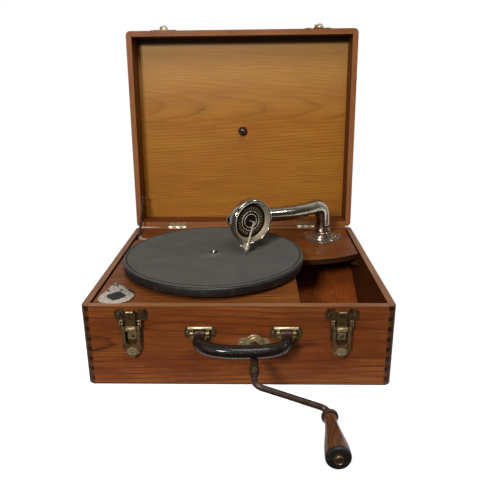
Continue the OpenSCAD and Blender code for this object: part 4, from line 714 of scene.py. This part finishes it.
# %% Neck with its knurled end ring
neck = turned([(7.6, -11), (10.2, -11), (10.2, -9.6), (9.6, -9.2), (9.6, 9.2), (10.2, 9.6), (10.2, 11), (7.6, 11),
               (7.6, -11)], steps=64)
stem = turned([(0, 0), (9.5, 0), (8.6, 8.6), (8.2, 11), (10.4, 13), (0, 13)], steps=64)
neck = joined([placed(neck, at((0, 0, 0), ("Y", 90))), stem])
dressed(neck, HEAD, "soundbox_neck", nickel, "soundbox_elbow", 35, stands_in=True)
nut = turned([(3.2, 2.5), (3.0, 6.4), (3.4, 11.8), (4.2, 12.6), (6.2, 12.6), (7.2, 12.0), (7.5, 10.8), (7.3, 9.8),
              (8.8, 8.9), (9.2, 7.6), (9.2, 2.2), (8.6, 1.2), (8.0, 0.6), (8.0, 0), (0, 0), (0, 2.5), (3.2, 2.5)],
             steps=48)
dressed(nut, HEAD @ at((-11.3, 0, 0), ("Y", -90)), "tonearm_tube", nickel, "neck_end_ring", 30)
print("sound box dressed")

# %% [markdown]
# ## Tonearm
# The gooseneck was bent from two pressed half shells, soldered along a seam that still shows as a
# pale line. It is a tapered tube along the same smooth path as its solid: straight up from the
# collar, over the elbow, and down to the sound box. So a curve takes that path, with a bevel as its
# thickness, and becomes a mesh.

# %% Path of the gooseneck
def curve_point(ends, share):
    """A point of a cubic curve through four control points."""
    rest = 1 - share
    weights = (rest ** 3, 3 * share * rest ** 2, 3 * share ** 2 * rest, share ** 3)
    return sum((w * end for w, end in zip(weights, ends)), Vector())


box_way, bend_way = (Vector((-math.cos(math.radians(a)), -math.sin(math.radians(a)), 0)) for a in (BOX_TURN, 50.5))
foot, rise, over = (Vector((ARM_X, ARM_Y, z)) for z in (122.3, 138.5, 163.7))
elbow = over + 31 * bend_way
far = Vector(BOX_MIDDLE) - 60 * box_way - Vector((0, 0, 3.9))
end = Vector(BOX_MIDDLE) - 13.6 * box_way
line_way = (end - far).normalized()
route = [foot, foot.lerp(rise, 0.5)]
route += [curve_point((rise, rise + Vector((0, 0, 20)), elbow - 18.6 * bend_way, elbow), i / 14) for i in range(15)]
route += [curve_point((elbow, elbow + 38 * bend_way, far - 12 * line_way, far), i / 16) for i in range(1, 17)]
route += [far.lerp(end, 0.5), end]
bores = [12 - 1.3 * i / (len(route) - 1) for i in range(len(route))]
print("gooseneck of", round(sum((b - a).length for a, b in zip(route, route[1:]))), "mm")


# %% Gooseneck tube, its seam and its two ends
def swept(points, radii, sides=6, smooth=False):
    """A round rod through points in mm; radii gives its radius at each point, or one for all."""
    bpy.ops.curve.primitive_nurbs_path_add()
    rod = bpy.context.object
    rod.data.splines.clear()
    line = rod.data.splines.new("NURBS" if smooth else "POLY")
    line.points.add(len(points) - 1)
    for i, place in enumerate(points):
        line.points[i].co = (*[v * MM for v in place], 1)
        line.points[i].radius = radii[i] if isinstance(radii, (list, tuple)) else radii
    if smooth:
        line.use_endpoint_u = True
        line.order_u = 4
        line.resolution_u = 6
    rod.data.dimensions = "3D"
    rod.data.bevel_depth = MM
    rod.data.bevel_resolution = sides
    rod.data.use_fill_caps = True
    only(rod)
    bpy.ops.object.convert(target="MESH")
    return tidy_mesh(bpy.context.object)


tube = swept(route, bores, 14)
smoother = tube.modifiers.new("round", "SUBSURF")
smoother.levels = smoother.render_levels = 1
dressed(apply_all(tube), HERE, "tonearm_tube", tube_nickel, "gooseneck_tube", 60, stands_in=True)
seam = []
for i in range(1, 25):
    ahead = (route[i + 1] - route[i - 1]).normalized()
    across_way = Vector((0, 0, 1)).cross(ahead if abs(ahead.z) < 0.9 else bend_way).normalized()
    seam.append(route[i] + (bores[i] + 0.05) * across_way)
dressed(swept(seam, 0.45, 3), HERE, "tonearm_tube", rubbed_nickel, "gooseneck_seam", 60)
tip = turned([(0, -9), (7.4, -9), (7.5, 0.8), (8.6, 1.6), (8.9, 2.6), (8.9, 5.6), (8.5, 6.6), (0, 6.6)], steps=48)
dressed(tip, HEAD @ at((18.2, 0, 0), ("Y", -90)), "tonearm_tube", nickel, "gooseneck_tip", 40)
collar = turned([(9, 118.3), (13.4, 118.3), (13.8, 119.2), (13.8, 120.6), (13.4, 121.4), (12.6, 121.9), (12.9, 122.4),
                 (13.2, 123.4), (12.9, 124.4), (12.1, 124.9), (9, 124.9), (9, 118.3)], steps=72)
dressed(collar, at((ARM_X, ARM_Y, 0)), "tonearm_collar", nickel, "gooseneck_collar", 40)
print("seam of", len(seam), "points")

# %% Stepped flange with three lobes for its screws
flange = turned([(13.9, 117.8), (14.4, 117.0), (14.6, 113.6), (16.0, 114.6), (17.6, 114.0), (18.4, 112.6),
                 (19.2, 110.6), (20.8, 111.9), (22.6, 111.9), (24.0, 110.9), (25.0, 108.7), (26.6, 110.1),
                 (28.6, 110.0), (30.0, 109.0), (30.8, 107.0), (32.0, 108.0), (33.4, 107.8), (34.1, 107.0),
                 (34.2, 106.2), (10.8, 106.2), (10.8, 117.8), (13.9, 117.8)], steps=96)
ROUND_TO, REACH = 26, 8.2           # radius inside which it stays round, and how far it goes on
lobes = [math.radians(a) for a in (25, 145, 265)]
for point in flange.data.vertices:
    radius = math.hypot(point.co.x, point.co.y) / MM
    turn = math.atan2(point.co.y, point.co.x)
    lobe = max(0, math.cos(3 * (turn - lobes[0]))) ** 3
    if radius > ROUND_TO:
        grown = 1 + (0.20 * lobe - 0.11) * (radius - ROUND_TO) / REACH
        point.co.x *= grown
        point.co.y *= grown
dressed(flange, at((ARM_X, ARM_Y, 0)), "tonearm_flange", dark_nickel, "gooseneck_flange", 25, stands_in=True)
screws([(ARM_X + 32 * math.cos(a), ARM_Y + 32 * math.sin(a), 107.9) for a in lobes], "tonearm_flange", nickel,
       "flange_screws", 2.3, 1.2, ())

# %% [markdown]
# ## Handle
# The grip is a roll of leather over a core, stitched along its inner side. Use has pressed it into
# fine ridges across its length, and its middle sags. The ridges are in the mesh: the roll's radius
# rises and falls every two millimetres along its path.


# %% Leather grip
def roll_path(share):
    """Half a loop of the handle from one end (-1) to the other (1), in the handle's own frame."""
    turn = share * math.pi / 2
    x = HANDLE_HALF * math.copysign(abs(math.sin(turn)) ** 0.8, share)
    y = -13 - 24.9 * math.cos(turn) ** 0.75
    return Vector((x, y, 0))


RIDGES = 180
coarse = [roll_path(-1 + i / 120) for i in range(241)]
length = [0]
for a, b in zip(coarse, coarse[1:]):
    length.append(length[-1] + (b - a).length)
marks, radii, k = [], [], 0
for i in range(RIDGES + 1):
    want = length[-1] * i / RIDGES
    while k < len(length) - 2 and length[k + 1] < want:
        k += 1
    share = (want - length[k]) / max(length[k + 1] - length[k], 1e-6)
    marks.append(coarse[k].lerp(coarse[k + 1], share))
    middle = 1 - abs(2 * i / RIDGES - 1)
    radii.append(6.9 + 0.65 * min(1, 2.2 * middle) + (0.22 if i % 2 else -0.10) * min(1, 6 * middle))
grip = dressed(swept(marks, radii, 10), HANDLE, "handle_grip", leather, "leather_grip", 75, stands_in=True)
print("grip length", round(length[-1]), "mm")


# %% Rolled edges over the handle plates, and loops at the grip's feet
def roll(end, straight, y, z, small, large, sides=6):
    """A level rod from -end to end along X, which is straight but for its rounded ends."""
    line = [(x, y, z) for x in (-end, -straight, straight, end)]
    return swept(line, [small, large, large, small], sides)


for s, name in ((-1, "left"), (1, "right")):
    dressed(roll(14.6, 14, 0, 0, 1.0, 1.7), at((HANDLE_X + s * HANDLE_HALF, FRONT - 2.6, 80.6)), "handle_caps",
            rubbed_brass_with_highlight, "handle_cap_roll_" + name, 50)
    loops = [swept([(k * 7.6, 2, -1.5), (k * 8.0, -3, -1.5), (k * 7.8, -9, -1.2), (k * 6.4, -12.5, -1)], 1.3, 5,
                   smooth=True) for k in (-1, 1)]
    dressed(joined(loops), HANDLE @ at((s * HANDLE_HALF, 0, 0)), "handle_ends", worn_bronze,
            "handle_loops_" + name, 50)
print("handle dressed")

# %% [markdown]
# ## Crank
# The crank is a browned steel rod with a collar that seats in the case's socket. Its grip is turned
# beech that swells towards its end, where a dark disc and a brass ring close it.


# %% Crank rod
def arc(centre, radius, first, last, steps):
    """Points on an arc in mm, from one angle to another."""
    angles = [math.radians(first + (last - first) * i / steps) for i in range(steps + 1)]
    return [(centre[0] + radius * math.cos(angle), centre[1] + radius * math.sin(angle)) for angle in angles]


BEND, THROW = 9, 83                 # radius of its two bends, and how far out the grip stands
line = [(0, 22), (0, 18), *arc((BEND, BEND), BEND, 180, 270, 10), (40, 0), (THROW - BEND, 0)]
line += arc((THROW - BEND, -BEND), BEND, 90, 0, 10)[1:] + [(THROW, -11.5)]
rod = swept([(x, y, 0) for x, y in line], 3.45, 10)
disc = turned([(0, 0), (8.2, 0), (8.8, 0.6), (8.8, 2.9), (8.3, 3.5), (0, 3.5)], steps=48)
rod = joined([rod, placed(disc, at((THROW, -11, 0), TO_FRONT))])
dressed(rod, CRANK, "crank_rod", brown_steel, "crank_arm", 40, stands_in=True)
collar = turned([(0, 0), (4.4, 0), (5.3, 0.6), (5.5, 1.2), (5.5, 10.6), (5.1, 11.6), (4.2, 12.0), (3.4, 12.2),
                 (3.2, 11.4), (0, 11.4)], steps=40)
dressed(collar, at((CRANK_X, FRONT - 58, CRANK_Z), TO_FRONT), "crank_rod", latch_bronze, "crank_collar", 35)
shaft = turned([(0, -62), (4.45, -62), (4.5, 60), (0, 60)], steps=40)
dressed(shaft, SOCKET, "crank_rod", brown_steel, "crank_shaft", 35)
print("crank arm of", THROW, "mm")

# %% Turned grip
bulge = [(2.56, 0), (6.0, 0), (6.9, 0.7), (7.1, 1.8), (6.7, 2.9), (6.3, 3.6)]
for t in [i / 16 for i in range(17)]:
    bulge.append((6.3 + 6.1 * (3 * t * t - 2 * t ** 3), 4.2 + 52.3 * t))
bulge += [(12.4, 57.2), (11.9, 57.4), (2.56, 57.4), (2.56, 0)]
KNOB = CRANK @ at((THROW, -14.8, 0), TO_FRONT)
dressed(turned(bulge, steps=80), KNOB, "crank_grip", grip_wood, "crank_handle", 40, stands_in=True)
cap = turned([(3.3, 57.5), (3.3, 61.0), (6.0, 61.1), (9.8, 61.4), (11.4, 60.9), (12.2, 59.6), (12.5, 58.2),
              (12.3, 57.5), (3.3, 57.5)], steps=64)
dressed(cap, KNOB, "crank_grip", japan, "crank_handle_end", 40)
ring = turned([(3.2, 61.2), (3.4, 62.6), (3.9, 63.3), (4.4, 63.5), (4.9, 63.0), (5.1, 61.9), (5.1, 61.2), (3.2, 61.2)],
              steps=48)
dressed(ring, KNOB, "crank_washer", brass, "crank_end_ring", 50, stands_in=True)
pin_end = turned([(0, 61.4), (0, 62.0), (1.4, 62.2), (2.6, 61.9), (3.3, 61.6), (3.3, 61.2), (0, 61.2)], steps=32)
dressed(pin_end, KNOB, "crank_rod", brown_steel, "crank_pin_end", 50)
print("crank dressed")


# %% Socket plate in the case's front
def outline(points, low, high, edge=0.0):
    """A plate from z low to high in mm over an outline of (x, y) points, anticlockwise."""
    piece = drawn([(x, y, low) for x, y in points])
    bpy.ops.mesh.edge_face_add()
    bpy.ops.mesh.extrude_region_move(TRANSFORM_OT_translate={"value": (0, 0, (high - low) * MM)})
    tidy_mesh(piece)
    return rounded(piece, edge) if edge else piece


plate = outline(arc((13, 0), 7, -90, 90, 16) + arc((-13, 0), 7, 90, 270, 16), 0, 1.4, 0.4)
boss = turned([(4.95, 0.5), (11.6, 0.5), (11.8, 1.4), (11.6, 2.2), (10.4, 2.8), (9.6, 3.0), (9.2, 3.8), (8.6, 4.5),
               (7.6, 4.8), (7.2, 4.9), (7.0, 6.8), (6.6, 7.4), (5.2, 7.4), (4.95, 6.8), (4.95, 0.5)], steps=64)
dressed(joined([plate, boss]), SOCKET, "crank_escutcheon", worn_bronze, "crank_socket_plate", 35, stands_in=True)
print("socket plate dressed")

# %% [markdown]
# ## Needle cup
# The cup's cover is a pressed nickel leaf that swings on a pin. It is domed, with a raised lip at
# its front and a round tab over the pin, so it is drawn as rings of one outline that shrink towards
# the middle while they rise.

# %% Cover of the needle cup
leaf = outline([(22.1, -4), (19.6, 1.5), (14.7, 6.7), (9.8, 12.6), (5.4, 19.4), (2.6, 24), (-1.7, 27.5), (-4.6, 30),
                (-7.8, 30.8), (-11, 30), (-13.5, 27.5), (-15.2, 23.6), (-15.4, 19.3), (-16.4, 12), (-18, 5.1),
                (-20.4, -3), (-21.4, -10.1), (-20.6, -16.6), (-18.2, -21.7), (-15.4, -24.8), (-11.9, -26.8),
                (-7.4, -28.1), (-2.9, -28.5), (2, -28.6), (6.7, -28.2), (11.4, -26.2), (15.2, -23.1), (18.4, -19.2),
                (20.6, -14.4), (22, -9)], 107.6, 108.1)
only(leaf)
bpy.ops.object.mode_set(mode="EDIT")
bpy.ops.mesh.select_all(action="DESELECT")
mesh = bmesh.from_edit_mesh(leaf.data)
for side in mesh.faces:
    side.select = side.normal.z > 0.9
bmesh.update_edit_mesh(leaf.data)
for depth, lift in ((0.9, 0.5), (1.6, -0.2), (3.0, 0.15), (4.0, 0.15), (4.0, 0.1)):
    bpy.ops.mesh.inset(thickness=depth * MM, depth=lift * MM)
bpy.ops.object.mode_set(mode="OBJECT")
dressed(rounded(leaf, 0.15, 1), CUP, "needle_cup_cover", pale_nickel, "needle_cup_leaf", 60, stands_in=True)
print("leaf of", len(leaf.data.polygons), "faces")

# %% Rivet, inlay and dots of the cover, the dots black discs painted as the shade in two holes
rivet = turned([(0, 110.7), (1.8, 110.5), (3.0, 109.9), (3.4, 109.2), (3.4, 107.4), (0, 107.4)], steps=32)
dressed(rivet, CUP @ at((-8.9, 27, 0)), "needle_cup", dull_nickel, "needle_cup_rivet", 50)
scallops = [((10.6 + 1.4 * math.cos(4 * a)) * math.cos(a), (11.4 + math.cos(4 * a)) * math.sin(a) - 7.5)
            for a in [math.radians(15 * i) for i in range(24)]]
dressed(outline(scallops, 108.3, 109.0, 0.1), CUP, "needle_cup_cover", thread_black, "needle_cup_inlay", 40)
# two black discs stand for the shade inside two holes of the cover
for x, y, name in ((-14.2, 9.5, "needle_cup_dot_5"), (2.6, 10.5, "needle_cup_dot_22")):
    hole_shade_disc = turned([(0, 109.0), (1.7, 109.0), (1.9, 108.8), (1.9, 108.0), (0, 108.0)], steps=24)
    dressed(hole_shade_disc, CUP @ at((x, y, 0)), "needle_cup_cover", japan, name, 40)
print("needle cup dressed")

# %% [markdown]
# ## Latches
# A latch is a plate with two ears, a channel-shaped lever and a hook. What hands rub is bright: the
# rolled ends of the hook, the tops of the plate's ears, and the thumb lobe at the lever's lower end.
# They are small rounded forms over the pressed ones, modelled once and copied to the second latch.
# The rolled ears keep clear of the lever's cheeks, which turn by 100 degrees between them.

# %% Rubbed details of one latch
lobe = turned([(0, 1.9), (3.0, 1.75), (5.6, 1.3), (7.2, 0.6), (7.8, 0), (7.6, -0.4), (0, -0.4)], steps=40)
placed(lobe, at((0, 0, 52.4), TO_FRONT) @ Matrix.Diagonal((1.12, 0.86, 1, 1)))
lever_set = joined([lobe] + [swept([(s * 9.9, -0.6, 84.8), (s * 9.9, -0.6, 82.0)], 0.9, 4) for s in (-1, 1)])
ear_set = joined([swept([(s * 12.2, -0.6, 86.0), (s * 12.2, -0.6, 92.4), (s * 9.0, -0.6, 92.4)],
                        [0.7, 1.0, 1.0], 5) for s in (-1, 1)])
hook_set = joined([roll(4.6, 4.2, 0, 103.3, 0.8, 1.3), roll(6.1, 5.6, 1.2, 81.4, 2.6, 3.1, 8)])
inner_plate = outline([(-5.4, 65.5), (5.4, 65.5), (5.4, 75.4), (-5.4, 75.4)], 0, 1.2, 0.35)
placed(inner_plate, at((0, 0, 0), TO_FRONT))
dome = turned([(0, 9.4), (2.6, 9.0), (4.8, 7.5), (6.1, 5.0), (6.2, 2.6), (5.5, 0.6), (5.2, 0), (0, 0)], steps=40)
print("one latch made")

# %% Copies on both latches
for side, x in LATCHES:
    for pattern, y, node, name, sharp in (
            (lever_set, FRONT - 7.1, "latch_lever_" + side, "latch_lever_rubs_", 50),
            (hook_set, FRONT - 7.7, "latch_hook_" + side, "latch_hook_rolls_", 50),
            (ear_set, FRONT - 7.1, "latch_plates", "latch_ear_rolls_", 50),
            (inner_plate, PLATE_FACE, "latch_plates", "latch_inner_plate_", 40)):
        dressed(copied(pattern), at((x, y, 0)), node, worn_bronze, name + side, sharp)
screws([(x + 1, FRONT - 2.8, 70) for _, x in LATCHES], "latch_plates", latch_bronze, "latch_inner_screws", 2.0, 1.0)
for side, x in (("left", -126), ("right", 126)):
    dressed(copied(dome), at((x, 192, 431.9)), "latch_keepers", rubbed_nickel, "latch_keeper_dome_" + side, 50)
for pattern in (lever_set, hook_set, ear_set, inner_plate, dome, screw_head):
    bpy.data.objects.remove(pattern)
print("latches dressed")

# %% [markdown]
# ## The solids in their finishes
# A sawn board and a pressed plate have slightly round edges, and an edge shows mainly by the light
# that it catches. So each remaining solid is copied, its triangles are merged into faces, its edges
# are bevelled by some tenths of a millimetre where a bevel is given, and the copy takes the solid's place.


# %% Boards
def refined(node, finish, name, bevel, sharp=22):
    """A merged copy of a solid, with its edges rounded unless bevel is 0, which takes the solid's place."""
    piece = only(copied(frame["nodes"][node]))
    bpy.ops.object.mode_set(mode="EDIT")
    bpy.ops.mesh.select_all(action="SELECT")
    bpy.ops.mesh.remove_doubles(threshold=2e-6)
    bpy.ops.mesh.dissolve_limited(angle_limit=math.radians(0.5))
    bpy.ops.object.mode_set(mode="OBJECT")
    if bevel:
        rounded(piece, bevel, angle=40)
    return dressed(piece, HERE, node, finish, name, sharp, stands_in=True)


for node, finish, edge in (
        ("case_front", across, 0.5), ("case_rear", across, 0.2), ("case_left", left_side, 0.5),
        ("case_right", right_side, 0.5), ("case_bottom", inner_wood, 0.5), ("motor_board", deck_wood, 0.6),
        ("board_cleats", inner_wood, 0), ("horn_partition", horn_wood, 0.4), ("horn_floor", horn_wood, 0.3),
        ("lid_front_rail", lid_across, 0.5), ("lid_rear_rail", lid_across, 0.15),
        ("lid_left_rail", lid_left, 0.5), ("lid_right_rail", lid_right, 0.5), ("lid_panel", panel_wood, 0.3)):
    refined(node, finish, node + "_board", edge, sharp=8)
print("boards done")

# %% [markdown]
# The lid's rear rail has sagged: behind the case it hangs one millimetre lower, and only left of the
# hinge does light still fall through the gap.

# %% Sagging lower edge of the rear rail
SAG = 1.0                           # in mm, over all but its left end
rail = only(bpy.data.objects["lid_rear_rail_board"])
bpy.ops.object.mode_set(mode="EDIT")
bpy.ops.mesh.select_all(action="DESELECT")
mesh = bmesh.from_edit_mesh(rail.data)


def at_gap(point):
    """Tells whether a point is on the edge that hangs behind the case."""
    return point.co.y < 164.6 * MM and point.co.z < 109.6 * MM


for edge in mesh.edges:
    edge.select = at_gap(edge.verts[0]) and at_gap(edge.verts[1]) and edge.calc_length() > 0.2
bmesh.update_edit_mesh(rail.data)
bpy.ops.mesh.subdivide(number_cuts=14)
moved = 0
for point in bmesh.from_edit_mesh(rail.data).verts:
    if at_gap(point) and point.co.x > -150 * MM:
        point.co.z -= SAG * MM
        moved += 1
bmesh.update_edit_mesh(rail.data)
bpy.ops.object.mode_set(mode="OBJECT")
print(moved, "points of the rail's lower edge sag")

# %% Metal parts
for node, finish, edge in (
        ("latch_keepers", latch_bronze, 0.35), ("hinge_case_leaves", rubbed_nickel, 0.15),
        ("hinge_lid_leaves", worn_bronze, 0.15), ("lid_stay", brown_steel, 0.25), ("stay_stud", brown_steel, 0.2),
        ("stay_pivot", brown_steel, 0.2), ("latch_plates", latch_bronze, 0.3),
        ("latch_lever_left", lever_bronze, 0.3), ("latch_lever_right", lever_bronze, 0.3),
        ("latch_hook_left", latch_bronze, 0.25), ("latch_hook_right", latch_bronze, 0.25),
        ("handle_caps", brass, 0.35), ("handle_ends", brown_steel, 0.3), ("turntable_spindle", bright_steel, 0),
        ("tonearm_collar", nickel, 0.2), ("diaphragm", mica, 0), ("stylus_bar", rubbed_nickel, 0.15),
        ("needle", bright_steel, 0), ("needle_screw", rubbed_nickel, 0.1), ("needle_cup", face_bronze, 0.2),
        ("brake_lever", rubbed_nickel, 0.2), ("record_stud", lacquer, 0.2)):
    refined(node, finish, node + "_part", edge)
print("metal parts done")

# %% Motor
for node, finish in (
        ("motor_top_plate", brown_steel), ("motor_bottom_plate", brown_steel), ("spring_barrel", brass),
        ("mainspring", bright_steel), ("winding_arbor", bright_steel), ("intermediate_gear", brass),
        ("governor_shaft", bright_steel), ("governor_weights", brass), ("regulator_lever", brown_steel),
        ("winding_shaft", bright_steel)):
    refined(node, finish, node + "_part", 0)
print("motor done")
